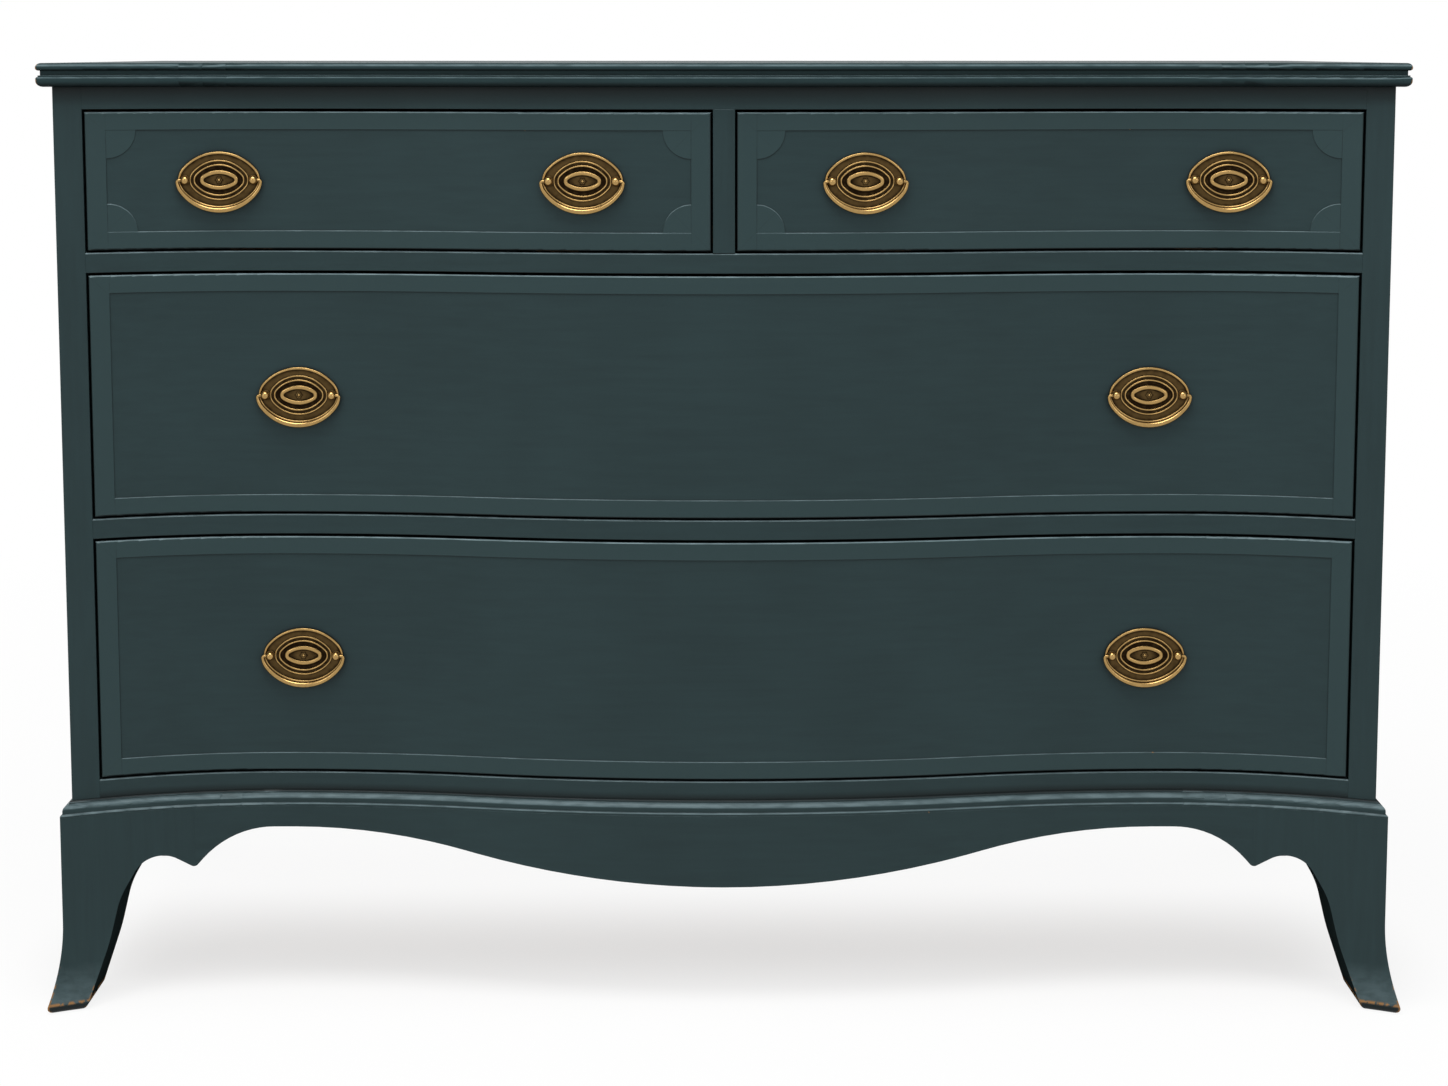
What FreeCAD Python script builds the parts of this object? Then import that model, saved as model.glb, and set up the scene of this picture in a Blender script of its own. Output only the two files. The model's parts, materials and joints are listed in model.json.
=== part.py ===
# Serpentine-front dresser: two small drawers over two deep ones, on splayed bracket feet.
# X runs to the viewer's right, Y to the back and Z up, in millimetres.
# The origin lies on the floor, under the middle of the whole footprint.

import FreeCAD
import Part
import math
import os

os.makedirs("parts", exist_ok=True)

Vector = FreeCAD.Vector
up = Vector(0, 0, 1)
quarter_turn = 90.0
half_turn = 180.0
overrun = 20.0          # how far a cutting tool runs past what it cuts
same_place = 0.0001     # two coordinates this close are one

# Case
carcase_width = 1248.0
carcase_depth = 576.0   # from the crown of the front curve to the back
base_height = 187.0
bottom_rail_height = 32.0
deep_opening = 234.0
shallow_opening = 134.0
divider_thickness = 19.0
top_rail_height = 21.0
stile_width = 24.5
stile_thickness = 22.0
centre_stile_width = 20.5
side_thickness = 18.0
rail_depth = 45.0       # from the hollow of the front curve to the rail's straight back edge
rail_bevel = 1.1        # along the upper front edge of each rail
back_thickness = 8.0
back_rabbet = 10.0

# Front curve in plan: convex crown, then two concave arcs that meet at the hollow
crown_swell = 41.0      # the crown stands this far ahead of the hollow
hollow_place = 424.0    # from the middle of the case to the hollow
crown_share = 0.559     # part of the way to the hollow at which convex turns concave
end_radius = 480.0      # outer concave arc, which sweeps forward again to the corner

# Top board and its edge, from the underside up
top_side_overhang = 11.0
top_front_overhang = 12.0
top_back_overhang = 4.0
lower_bead_height = 9.2
lower_bead_top_share = 0.19     # rounds of the beads, as shares of each bead's height
lower_bead_under_share = 0.6
bead_step_height = 1.4
bead_step_setback = 1.6
neck_height = 4.4
neck_setback = 3.2
upper_bead_height = 7.0
upper_bead_top_share = 0.6
upper_bead_under_share = 0.34

# Base moulding, from the underside up: a ledge, a quarter round and a fine bead
base_proud = 9.0
ledge_height = 3.0
ledge_round = 1.6
quarter_round_height = 8.5
quarter_round_proud = 7.2
quarter_round_radius = 5.4
fine_bead_height = 2.5
fine_bead_proud = 2.2
fine_bead_round = 1.6

# Apron and feet
apron_thickness = 22.0
arch_run = 97.5             # from the cusp beside the foot inwards to the top of the long arch
apron_dip = 49.1            # the middle hangs this far below the arch
apron_dip_share = 0.6       # part of the way to the arch at which the edge turns over
foot_thickness = 38.0       # side arms
front_foot_thickness = 58.0 # front arms, which show their depth beside the splayed edge
foot_reach = 120.5          # from the base's outer face to the cusp beside the foot
rear_foot_extra = 9.0
splay = 12.0                # how far the toe kicks out
splay_start = 85.0          # height at which the kick begins
toe_height = 8.0
rear_base_rail_height = 70.0
block_size = 42.0
block_height = 44.0
# Inner edge of a foot and the small arch beside it, seen from ahead and from the side, as corners
# from the floor up: place from the outer face in shares of foot_reach, height in shares of
# base_height, and how much of the shorter run beside the corner its arc takes up
front_edge_shares = [
    (0.174, 0.0, 0.123),
    (0.337, 0.321, 0.198),
    (0.42, 0.55, 0.266),
    (0.604, 0.757, 0.68),
    (0.807, 0.757, 0.31),
    (1.0, 0.684, 0.149),
    (1.288, 0.89, 0.782),
]
side_edge_shares = [
    (0.4, 0.0, 0.123),
    (0.47, 0.321, 0.198),
    (0.53, 0.55, 0.266),
    (0.66, 0.757, 0.6),
    (0.82, 0.757, 0.31),
    (1.0, 0.684, 0.149),
    (1.288, 0.89, 0.782),
]

# Frames that carry the drawers
runner_width = 45.0
centre_runner_width = 72.0
rear_rail_depth = 45.0
dust_thickness = 5.0
dust_groove = 6.0
side_guide_height = 22.0
guide_width = 25.0
guide_height = 8.0
stop_width = 40.0
stop_depth = 14.0
stop_height = 7.0
stop_shares = (0.25, 0.75)      # places of the two stops across an opening

# Drawers
gap_above = 2.6
gap_below = 1.9
gap_beside = 1.9
slide_clearance = 0.3
guide_clearance = 0.4
stop_clearance = 0.3
front_proud = 0.8
front_thickness = 22.0
front_round = 1.6
band_beside = 18.5
band_above = 17.0
field_sink = 0.8
fan_radius = 26.5
fan_sink = 0.2
drawer_side_thickness = 12.0
drawer_side_drop = 6.0          # the sides stop this far below the front's top
drawer_back_drop = 8.0
drawer_back_dado = 4.0
drawer_rear_space = 14.0
drawer_bottom_thickness = 6.0
drawer_bottom_recess = 12.5
bottom_groove = 5.0
dovetail_lap = 8.0              # wood left in front of the blind dovetails
dovetail_pitch = 26.0
dovetail_wide_share = 0.66
dovetail_narrow_share = 0.46
channel_width = 48.0
channel_lift = 1.2
channel_head_clearance = 0.8

# Bail pulls
small_pull_inset = 122.0        # from a small drawer's opening edge to the pull's middle
deep_pull_inset = 193.5         # from a deep drawer's opening edge to the pull's middle
deep_pull_drop = 2.0            # the deep drawers' pulls sit this far below the opening's middle
post_spacing = 63.5
plate_beyond_post = 6.75        # from a post's middle to the plate's tip
plate_height = 54.0
plate_end_radius = 17.5
plate_thickness = 1.0
plate_seat = 0.05
rim_wire = 1.35
ring_wire = 0.8
bold_ring_wire = 1.25
# Raised rings of the plate: width, height and end radius in shares of the plate's
ring_shares = [
    (0.7, 0.68, 0.62, "ring"),
    (0.6, 0.53, 0.42, "ring"),
    (0.455, 0.29, 0.17, "bold"),
]
centre_boss_radius = 2.2
centre_boss_height = 0.9
rim_crest = 2.2                 # height of the rim's crest over the plate's back
collar_radius = 4.7
collar_thickness = 1.3
ball_radius = 4.2
neck_radius = 2.6
shank_radius = 2.0
shank_clearance = 0.1
collar_clearance = 0.1
nut_width = 8.0
nut_thickness = 3.2
nut_recess_clearance = 1.4
nut_recess_depth = 2.0
thread_clearance = 0.05
shank_tail = 2.0
bail_drop = 30.8                # from the pin axis to the bail's lowest point
bail_end_width = 3.4
bail_middle_width = 5.0
bail_depth = 4.4
bail_round_share = 0.44         # round of the bail's edges, as a share of its width at the arms
bail_end_radius = 17.5
bail_clearance = 0.3
arm_gap = 1.4                   # between a ball and the bail's arm beside it
pin_radius = 1.4
pin_clearance = 0.05
pin_depth_share = 0.75          # part of the ball's width that the pin enters

# Screws
screw_radius = 2.1
screw_head_radius = 4.2
screw_head_height = 2.4
screw_clearance = 0.05
top_screw_bite = 11.0
block_screw_bite = 20.0
top_screw_shares = (0.12, 0.5, 0.88)

# Heights above the floor
bottom_opening_z = base_height + bottom_rail_height
lower_divider_z = bottom_opening_z + deep_opening
middle_opening_z = lower_divider_z + divider_thickness
upper_divider_z = middle_opening_z + deep_opening
upper_opening_z = upper_divider_z + divider_thickness
top_rail_z = upper_opening_z + shallow_opening
carcase_top = top_rail_z + top_rail_height
runner_lift = gap_below - slide_clearance

# Widths from the middle
half_width = carcase_width / 2
half_opening = half_width - stile_width
half_inside = half_width - side_thickness
base_half = half_width + base_proud
cusp_x = base_half - foot_reach
apron_peak_place = cusp_x - arch_run

# Two tangent arcs between level tangents share this sum of radii
swell_radii = (hollow_place ** 2 + crown_swell ** 2) / (2 * crown_swell)
crown_radius = crown_share * swell_radii
hollow_radius = swell_radii - crown_radius

# The kick of the feet: an arc that leaves the upright face, then the rounded toe
kick_drop = splay_start - toe_height
kick_radius = (kick_drop ** 2 + splay ** 2) / (2 * splay)
kick_angle = math.asin(kick_drop / kick_radius)
toe_round = toe_height / (1 + math.sin(kick_angle))
toe_reach = splay + toe_round * (1 - math.cos(kick_angle))

# Depths: the toe of a front foot and the top's back edge lie equally far from the origin
toe_radius = end_radius - base_proud - toe_reach
toe_across = base_half + toe_reach - hollow_place
toe_lead = end_radius - crown_swell - math.sqrt(toe_radius ** 2 - toe_across ** 2)
crown_y = (toe_lead - carcase_depth - top_back_overhang) / 2
hollow_y = crown_y + crown_swell
end_centre_y = hollow_y - end_radius
back_y = crown_y + carcase_depth
rail_back_y = hollow_y + rail_depth
frame_back_y = back_y - back_thickness
rear_rail_y = frame_back_y - rear_rail_depth
drawer_back_y = frame_back_y - drawer_rear_space


def face_y(x, proud):
    """Depth of the front curve at x, moved square to itself, forward if proud is positive."""
    x = abs(x)
    if x <= (crown_radius + proud) * hollow_place / swell_radii:
        return crown_y + crown_radius - math.sqrt((crown_radius + proud) ** 2 - x ** 2)
    radius = hollow_radius if x <= hollow_place else end_radius
    return hollow_y - radius + math.sqrt((radius - proud) ** 2 - (x - hollow_place) ** 2)


stile_back_y = face_y(half_opening, 0) + stile_thickness
base_corner_y = face_y(base_half, base_proud)


def box(x_low, x_high, y_low, y_high, z_low, z_high):
    """Square block between two corners."""
    corner = Vector(x_low, y_low, z_low)
    return Part.makeBox(x_high - x_low, y_high - y_low, z_high - z_low, corner)


def front_edges(x_low, x_high, proud, z):
    """The front curve from x_low to x_high as tangent arcs."""
    turn = (crown_radius + proud) * hollow_place / swell_radii
    joints = [x for x in (-hollow_place, -turn, turn, hollow_place) if x_low < x < x_high]
    stops = [x_low] + joints + [x_high]
    edges = []
    for left, right in zip(stops, stops[1:]):
        middle = (left + right) / 2
        points = [Vector(x, face_y(x, proud), z) for x in (left, middle, right)]
        edges.append(Part.Arc(*points).toShape())
    return edges


def prism(edges, travel):
    """Solid swept by a closed outline along travel."""
    return Part.Face(Part.Wire(Part.__sortEdges__(edges))).extrude(travel)


def between_curves(x_low, x_high, proud, back_proud, z_low, z_high):
    """Bent board between the front curve at two offsets."""
    edges = front_edges(x_low, x_high, proud, z_low) + front_edges(x_low, x_high, back_proud, z_low)
    for x in (x_low, x_high):
        ahead = Vector(x, face_y(x, proud), z_low)
        edges.append(Part.makeLine(ahead, Vector(x, face_y(x, back_proud), z_low)))
    return prism(edges, up * (z_high - z_low))


def behind_curve(x_low, x_high, proud, y_back, z_low, z_high):
    """Block with the curved front and a straight back."""
    edges = front_edges(x_low, x_high, proud, z_low)
    corners = [Vector(x_low, face_y(x_low, proud), z_low), Vector(x_low, y_back, z_low),
               Vector(x_high, y_back, z_low), Vector(x_high, face_y(x_high, proud), z_low)]
    for start, end in zip(corners, corners[1:]):
        edges.append(Part.makeLine(start, end))
    return prism(edges, up * (z_high - z_low))


def mirrored(shape):
    """The same piece on the other side of the case."""
    return shape.mirror(Vector(0, 0, 0), Vector(1, 0, 0))


def pair(shape):
    """A piece and its mirror image."""
    return [shape, mirrored(shape)]


def cut_all(shape, tools):
    """The shape with every tool cut out of it."""
    return shape.cut(Part.makeCompound(tools))


def rim_edges(shape, side_grow, front_grow, z):
    """Edges at one height that lie on a piece's own front and side faces."""
    rim = []
    for edge in shape.Edges:
        middle = edge.valueAt((edge.FirstParameter + edge.LastParameter) / 2)
        beside = abs(abs(middle.x) - half_width - side_grow) < same_place
        ahead = abs(middle.y - face_y(middle.x, front_grow)) < same_place
        level = edge.BoundBox.ZLength < same_place and abs(middle.z - z) < same_place
        if level and (beside or ahead):
            rim.append(edge)
    return rim


def round_rim(shape, side_grow, front_grow, z, radius):
    """The shape with those edges rounded."""
    return shape.makeFillet(radius, rim_edges(shape, side_grow, front_grow, z))


def rail(z_low, z_high):
    """Curved rail between the stiles, with a small bevel along its upper front edge."""
    board = behind_curve(-half_opening, half_opening, 0, rail_back_y, z_low, z_high)
    return board.makeChamfer(rail_bevel, rim_edges(board, 0, 0, z_high))


def top_layer(setback, z_low, z_high):
    """One layer of the top board, set back from its widest outline."""
    half = half_width + top_side_overhang - setback
    return behind_curve(-half, half, top_front_overhang - setback, back_y + top_back_overhang, z_low, z_high)


def top_board():
    """Top with two rounded beads and a neck between them along the front and sides."""
    step_z = carcase_top + lower_bead_height
    neck_z = step_z + bead_step_height
    upper_z = neck_z + neck_height
    top_z = upper_z + upper_bead_height
    outline = (top_side_overhang, top_front_overhang)
    lower = top_layer(0, carcase_top, step_z)
    lower = round_rim(lower, *outline, step_z, lower_bead_height * lower_bead_top_share)
    lower = round_rim(lower, *outline, carcase_top, lower_bead_height * lower_bead_under_share)
    step = top_layer(bead_step_setback, step_z, neck_z)
    neck = top_layer(neck_setback, neck_z, upper_z)
    upper = top_layer(0, upper_z, top_z)
    upper = round_rim(upper, *outline, top_z, upper_bead_height * upper_bead_top_share)
    upper = round_rim(upper, *outline, upper_z, upper_bead_height * upper_bead_under_share)
    return lower.fuse([step, neck, upper])


def base_moulding():
    """Moulding round the foot of the case: a front length and two side lengths behind its ends."""
    layers = [(base_proud, ledge_height, ledge_round),
              (quarter_round_proud, quarter_round_height, quarter_round_radius),
              (fine_bead_proud, fine_bead_height, fine_bead_round)]
    ahead, beside = [], []
    z_low = base_height
    for proud, height, radius in layers:
        z_high = z_low + height
        half = half_width + proud
        front = between_curves(-half, half, proud, 0, z_low, z_high)
        side = behind_curve(half_width, half, 0, back_y, z_low, z_high)
        ahead.append(round_rim(front, proud, proud, z_high, radius))
        beside.append(round_rim(side, proud, proud, z_high, radius))
        z_low = z_high
    return [ahead[0].fuse(ahead[1:])] + pair(beside[0].fuse(beside[1:]))


def rounded_path(corners):
    """Straight runs between corners, each (point, share), with a tangent arc at each corner."""
    edges = []
    start = corners[0][0]
    for (before, _), (corner, share), (after, _) in zip(corners, corners[1:], corners[2:]):
        ease = share * min((before - corner).Length, (after - corner).Length)
        back = (before - corner).normalize()
        forth = (after - corner).normalize()
        half = back.getAngle(forth) / 2
        first = corner + back * ease
        last = corner + forth * ease
        inward = (back + forth).normalize()
        middle = corner + inward * (ease / math.cos(half) - ease * math.tan(half))
        edges.append(Part.makeLine(start, first))
        edges.append(Part.Arc(first, middle, last).toShape())
        start = last
    edges.append(Part.makeLine(start, corners[-1][0]))
    return edges


def foot_corners(place, edge_shares):
    """Corners of a foot's inner edge from the floor to the long arch, put in place by a function."""
    return [(place(foot_reach * across, base_height * height), share)
            for across, height, share in edge_shares]


def front_elevation():
    """Everything that the front of the base covers right of the middle, seen from ahead."""
    def place(across, height):
        return Vector(base_half - across, 0, height)
    arch_z = base_height * front_edge_shares[-1][1]
    far = Vector(base_half + toe_reach + overrun, 0, 0)
    peak = Vector(apron_peak_place, 0, arch_z)
    edges = rounded_path([(far, 0)] + foot_corners(place, front_edge_shares) + [(peak, 0)])
    radii = (apron_peak_place ** 2 + apron_dip ** 2) / (2 * apron_dip)
    dip_radius = apron_dip_share * radii
    arch_radius = radii - dip_radius
    low_z = arch_z - apron_dip

    def dip(x):
        return Vector(x, 0, low_z + dip_radius - math.sqrt(dip_radius ** 2 - x ** 2))

    def arch(x):
        across = apron_peak_place - x
        return Vector(x, 0, arch_z - arch_radius + math.sqrt(arch_radius ** 2 - across ** 2))
    turn = apron_dip_share * apron_peak_place
    edges.append(Part.Arc(peak, arch((turn + apron_peak_place) / 2), arch(turn)).toShape())
    edges.append(Part.Arc(dip(turn), dip(turn / 2), dip(0)).toShape())
    rest = [dip(0), Vector(0, 0, base_height), Vector(far.x, 0, base_height), far]
    edges += [Part.makeLine(a, b) for a, b in zip(rest, rest[1:])]
    return prism(edges, Vector(0, carcase_depth, 0))


def side_elevation(corner_y, toward, far):
    """What a foot and half of the apron cover, seen from the side."""
    def place(across, height):
        return Vector(0, corner_y + toward * across, height)
    middle_y = (base_corner_y + back_y) / 2
    start = Vector(0, corner_y - toward * far, 0)
    peak = Vector(0, middle_y, base_height * side_edge_shares[-1][1])
    edges = rounded_path([(start, 0)] + foot_corners(place, side_edge_shares) + [(peak, 0)])
    rest = [peak, Vector(0, middle_y, base_height), Vector(0, start.y, base_height), start]
    edges += [Part.makeLine(a, b) for a, b in zip(rest, rest[1:])]
    return prism(edges, Vector(base_half + toe_reach + overrun, 0, 0))


def kick_section(place, depth):
    """Upright section of a base board: kicked-out face and rounded toe, depth thick."""
    def kick(z):
        return place(kick_radius - math.sqrt(kick_radius ** 2 - (splay_start - z) ** 2), z)
    middle_x = splay - toe_round * math.cos(kick_angle)
    tip_angle = math.pi / 4
    tip = place(middle_x + toe_round * math.cos(tip_angle),
                toe_round - toe_round * math.sin(tip_angle))
    sole = place(middle_x, 0)
    edges = [Part.Arc(kick(splay_start), kick((splay_start + toe_height) / 2),
                      kick(toe_height)).toShape(),
             Part.Arc(kick(toe_height), tip, sole).toShape()]
    rest = [sole, place(-depth, 0), place(-depth, base_height), place(0, base_height), kick(splay_start)]
    edges += [Part.makeLine(a, b) for a, b in zip(rest, rest[1:])]
    return edges


def front_arm(depth):
    """Board that follows the outer concave arc of the front, with the kick forward."""
    def place(outward, z):
        return Vector(hollow_place + end_radius - base_proud - outward, end_centre_y, z)
    face = Part.Face(Part.Wire(Part.__sortEdges__(kick_section(place, depth))))
    return face.revolve(Vector(hollow_place, end_centre_y, 0), up, quarter_turn)


def side_arm(depth, y_low, y_high):
    """Board along the side of the base, with the kick sideways."""
    def place(outward, z):
        return Vector(base_half + outward, y_low, z)
    return prism(kick_section(place, depth), Vector(0, y_high - y_low, 0))


def front_foot():
    """Right front foot: one splayed corner bracket with a front arm and a side arm."""
    reach_y = base_corner_y + foot_reach
    ahead_y = base_corner_y - toe_reach - overrun
    ahead = front_elevation().common(box(cusp_x, base_half + toe_reach + overrun,
                                         0, carcase_depth, 0, base_height))
    ahead.translate(Vector(0, ahead_y, 0))
    beside = side_elevation(base_corner_y, 1, toe_reach + overrun)
    beside = beside.common(box(0, base_half + toe_reach + overrun, ahead_y, reach_y, 0, base_height))
    arm_ahead = front_arm(front_foot_thickness).common(side_arm(half_width, ahead_y, back_y))
    arm_ahead = arm_ahead.common(ahead)
    arm_beside = side_arm(foot_thickness, ahead_y, reach_y).common(ahead)
    arm_beside = arm_beside.common(front_arm(carcase_depth)).common(beside)
    return arm_ahead.fuse(arm_beside).removeSplitter()


def rear_foot():
    """Right rear foot: splayed sideways only, flush with the back."""
    reach_y = back_y - rear_foot_extra - foot_reach
    beside = side_elevation(back_y - rear_foot_extra, -1, rear_foot_extra + overrun)
    return side_arm(foot_thickness, reach_y, back_y).common(beside)


def side_apron():
    """Thin arched board between the two feet of one side."""
    start = base_corner_y + foot_reach
    end = back_y - rear_foot_extra - foot_reach
    board = box(base_half - apron_thickness, base_half, start, end, 0, base_height)
    outline = side_elevation(base_corner_y, 1, toe_reach + overrun)
    rear = side_elevation(back_y - rear_foot_extra, -1, rear_foot_extra + overrun)
    return board.common(outline.fuse(rear)).removeSplitter()


def front_apron():
    """Serpentine apron with its scalloped lower edge, between the feet."""
    board = between_curves(-cusp_x, cusp_x, base_proud, base_proud - apron_thickness, 0, base_height)
    half = front_elevation()
    half.translate(Vector(0, crown_y - base_proud - overrun, 0))
    return board.common(half.fuse(mirrored(half))).removeSplitter()


def corner_blocks():
    """Glue blocks in the inner corners behind the feet."""
    outer = base_half - foot_thickness
    inner = outer - block_size
    low = base_height - block_height
    block_y = face_y(inner, base_proud - front_foot_thickness) + block_size
    front = behind_curve(inner, outer, base_proud - front_foot_thickness, block_y, low, base_height)
    rear_face = back_y - apron_thickness
    rear = box(inner, outer, rear_face - block_size, rear_face, low, base_height)
    return [front, rear]


def screw(x, y, z, bite):
    """Round-head screw driven upwards, its head's seat at z."""
    foot = Vector(x, y, z)
    head = Part.makeCylinder(screw_head_radius, screw_head_height, foot - up * screw_head_height)
    return head.fuse(Part.makeCylinder(screw_radius, bite, foot)).removeSplitter()


def screw_hole(x, y, z, bite):
    """Hole that clears a screw's shank."""
    return Part.makeCylinder(screw_radius + screw_clearance, bite + screw_clearance, Vector(x, y, z))


def dovetails(x_low, x_high, y_low, y_high, z_low, z_high):
    """Row of tails that widen towards the front, for one end of a drawer side."""
    count = max(2, round((z_high - z_low) / dovetail_pitch))
    pitch = (z_high - z_low) / count
    tails = []
    for number in range(count):
        middle = z_low + (number + 1 / 2) * pitch
        wide = pitch * dovetail_wide_share / 2
        narrow = pitch * dovetail_narrow_share / 2
        corners = [Vector(x_low, y_low, middle - wide), Vector(x_low, y_low, middle + wide),
                   Vector(x_low, y_high, middle + narrow), Vector(x_low, y_high, middle - narrow)]
        edges = [Part.makeLine(a, b) for a, b in zip(corners, corners[1:] + corners[:1])]
        tails.append(prism(edges, Vector(x_high - x_low, 0, 0)))
    return Part.makeCompound(tails)


def oval_arcs(half_long, half_short, end_arc):
    """Four-centred oval in X and Z: centre, radius and two ends for each of its arcs."""
    flat_arc = ((half_long - end_arc) ** 2 + half_short ** 2 - end_arc ** 2) / (2 * (half_short - end_arc))
    reach = half_long - end_arc
    rise = flat_arc - half_short
    share = flat_arc / (flat_arc - end_arc)
    joint_x = reach * share
    joint_z = rise * share - rise
    return {
        "end_centre": Vector(reach, 0, 0),
        "joint": Vector(joint_x, 0, joint_z),
        "end": Vector(half_long, 0, 0),
        "crest": Vector(0, 0, half_short),
    }


def flipped(point, x_sign, z_sign):
    """A point of an oval carried to another quarter."""
    return Vector(point.x * x_sign, point.y, point.z * z_sign)


def oval_edges(half_long, half_short, end_arc):
    """Closed outline of a four-centred oval."""
    oval = oval_arcs(half_long, half_short, end_arc)
    joint = oval["joint"]
    return [
        Part.Arc(flipped(joint, 1, -1), oval["end"], joint).toShape(),
        Part.Arc(joint, oval["crest"], flipped(joint, -1, 1)).toShape(),
        Part.Arc(flipped(joint, -1, 1), flipped(oval["end"], -1, 1), flipped(joint, -1, -1)).toShape(),
        Part.Arc(flipped(joint, -1, -1), flipped(oval["crest"], 1, -1), flipped(joint, 1, -1)).toShape(),
    ]


def oval_ring(half_long, half_short, end_arc, wire, y):
    """Round wire bent to a four-centred oval, its middle at depth y."""
    pieces = []
    for edge in oval_edges(half_long, half_short, end_arc):
        start = edge.valueAt(edge.FirstParameter)
        disc = Part.Face(Part.Wire(Part.makeCircle(wire, start, edge.tangentAt(edge.FirstParameter))))
        turn = math.degrees(edge.LastParameter - edge.FirstParameter)
        pieces.append(disc.revolve(edge.Curve.Center, edge.Curve.Axis, turn))
    ring = pieces[0].fuse(pieces[1:])
    ring.translate(Vector(0, y, 0))
    return ring


def rod(x_low, x_high, radius, y, z):
    """Round rod along X."""
    return Part.makeCylinder(radius, x_high - x_low, Vector(x_low, y, z), Vector(1, 0, 0))


# The pull is drawn with its plate's back on Y = 0, its middle at the origin and its front to -Y
bail_axis_out = rim_crest + bail_clearance + bail_depth / 2
post_x = post_spacing / 2
plate_width = post_spacing + 2 * plate_beyond_post
nut_radius = nut_width / math.sqrt(3)
nut_seat = front_thickness - field_sink - nut_recess_depth     # behind the middle of the field
arm_x = post_x + ball_radius + arm_gap + bail_end_width / 2
pin_end_x = post_x + ball_radius - 2 * ball_radius * pin_depth_share


def pull_plate():
    """Pressed oval plate: flat ground, a rim bead, two fine rings, a bold ring and a small boss."""
    half_long = plate_width / 2
    half_short = plate_height / 2
    plate = prism(oval_edges(half_long, half_short, plate_end_radius), Vector(0, -plate_thickness, 0))
    rings = [oval_ring(half_long - rim_wire, half_short - rim_wire, plate_end_radius - rim_wire,
                       rim_wire, rim_wire - rim_crest)]
    for across, tall, end_share, kind in ring_shares:
        wire = bold_ring_wire if kind == "bold" else ring_wire
        rings.append(oval_ring(half_long * across, half_short * tall, plate_end_radius * end_share,
                               wire, -plate_thickness))
    ground = box(-plate_width, plate_width, 0, plate_width, -plate_height, plate_height)
    boss = Part.makeCylinder(centre_boss_radius, centre_boss_height,
                             Vector(0, -plate_thickness, 0), Vector(0, -1, 0))
    plate = plate.fuse(rings + [boss]).cut(ground)
    ahead = Vector(0, -1, 0)
    for x in (-post_x, post_x):
        plate = plate.cut(Part.makeCylinder(shank_radius + shank_clearance, overrun,
                                            Vector(x, 0, 0), ahead))
        plate = plate.cut(Part.makeCylinder(collar_radius + collar_clearance, overrun,
                                            Vector(x, -plate_thickness, 0), ahead))
    return plate.removeSplitter()


def pull_post(seat):
    """Right-hand post: collar, neck and ball with the bail's socket, on a shank that ends past the nut."""
    middle = Vector(post_x, -bail_axis_out, 0)
    inward = Vector(0, 1, 0)
    ball = Part.makeSphere(ball_radius, middle)
    ball.rotate(middle, up, half_turn)
    ball = ball.cut(box(0, 2 * post_x, -plate_thickness, ball_radius, -ball_radius, ball_radius))
    collar_face = plate_thickness + collar_thickness
    collar = Part.makeCylinder(collar_radius, collar_thickness, Vector(post_x, -collar_face, 0), inward)
    neck = Part.makeCylinder(neck_radius, bail_axis_out - plate_thickness, middle, inward)
    reach = plate_thickness + seat + nut_seat + nut_thickness + shank_tail
    shank = Part.makeCylinder(shank_radius, reach, Vector(post_x, -plate_thickness, 0), inward)
    socket = rod(pin_end_x - pin_clearance, arm_x, pin_radius + pin_clearance, -bail_axis_out, 0)
    return ball.fuse([neck, collar, shank]).cut(socket).removeSplitter()


def pull_nut(seat):
    """Hexagon nut on the right-hand shank, behind the drawer front."""
    start = seat + nut_seat
    angles = [math.pi * number / 3 for number in range(6)]
    corners = [Vector(post_x + nut_radius * math.cos(a), start, nut_radius * math.sin(a)) for a in angles]
    edges = [Part.makeLine(a, b) for a, b in zip(corners, corners[1:] + corners[:1])]
    bore = Part.makeCylinder(shank_radius + thread_clearance, nut_thickness,
                             Vector(post_x, start, 0), Vector(0, 1, 0))
    return prism(edges, Vector(0, nut_thickness, 0)).cut(bore)


def post_hole(seat):
    """Hole for the right-hand post's shank, widened behind for the nut."""
    inward = Vector(0, 1, 0)
    hole = Part.makeCylinder(shank_radius + shank_clearance, 2 * front_thickness,
                             Vector(post_x, -front_thickness / 2, 0), inward)
    recess = Part.makeCylinder(nut_radius + nut_recess_clearance, overrun,
                               Vector(post_x, seat + nut_seat, 0), inward)
    return hole.fuse(recess)


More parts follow.
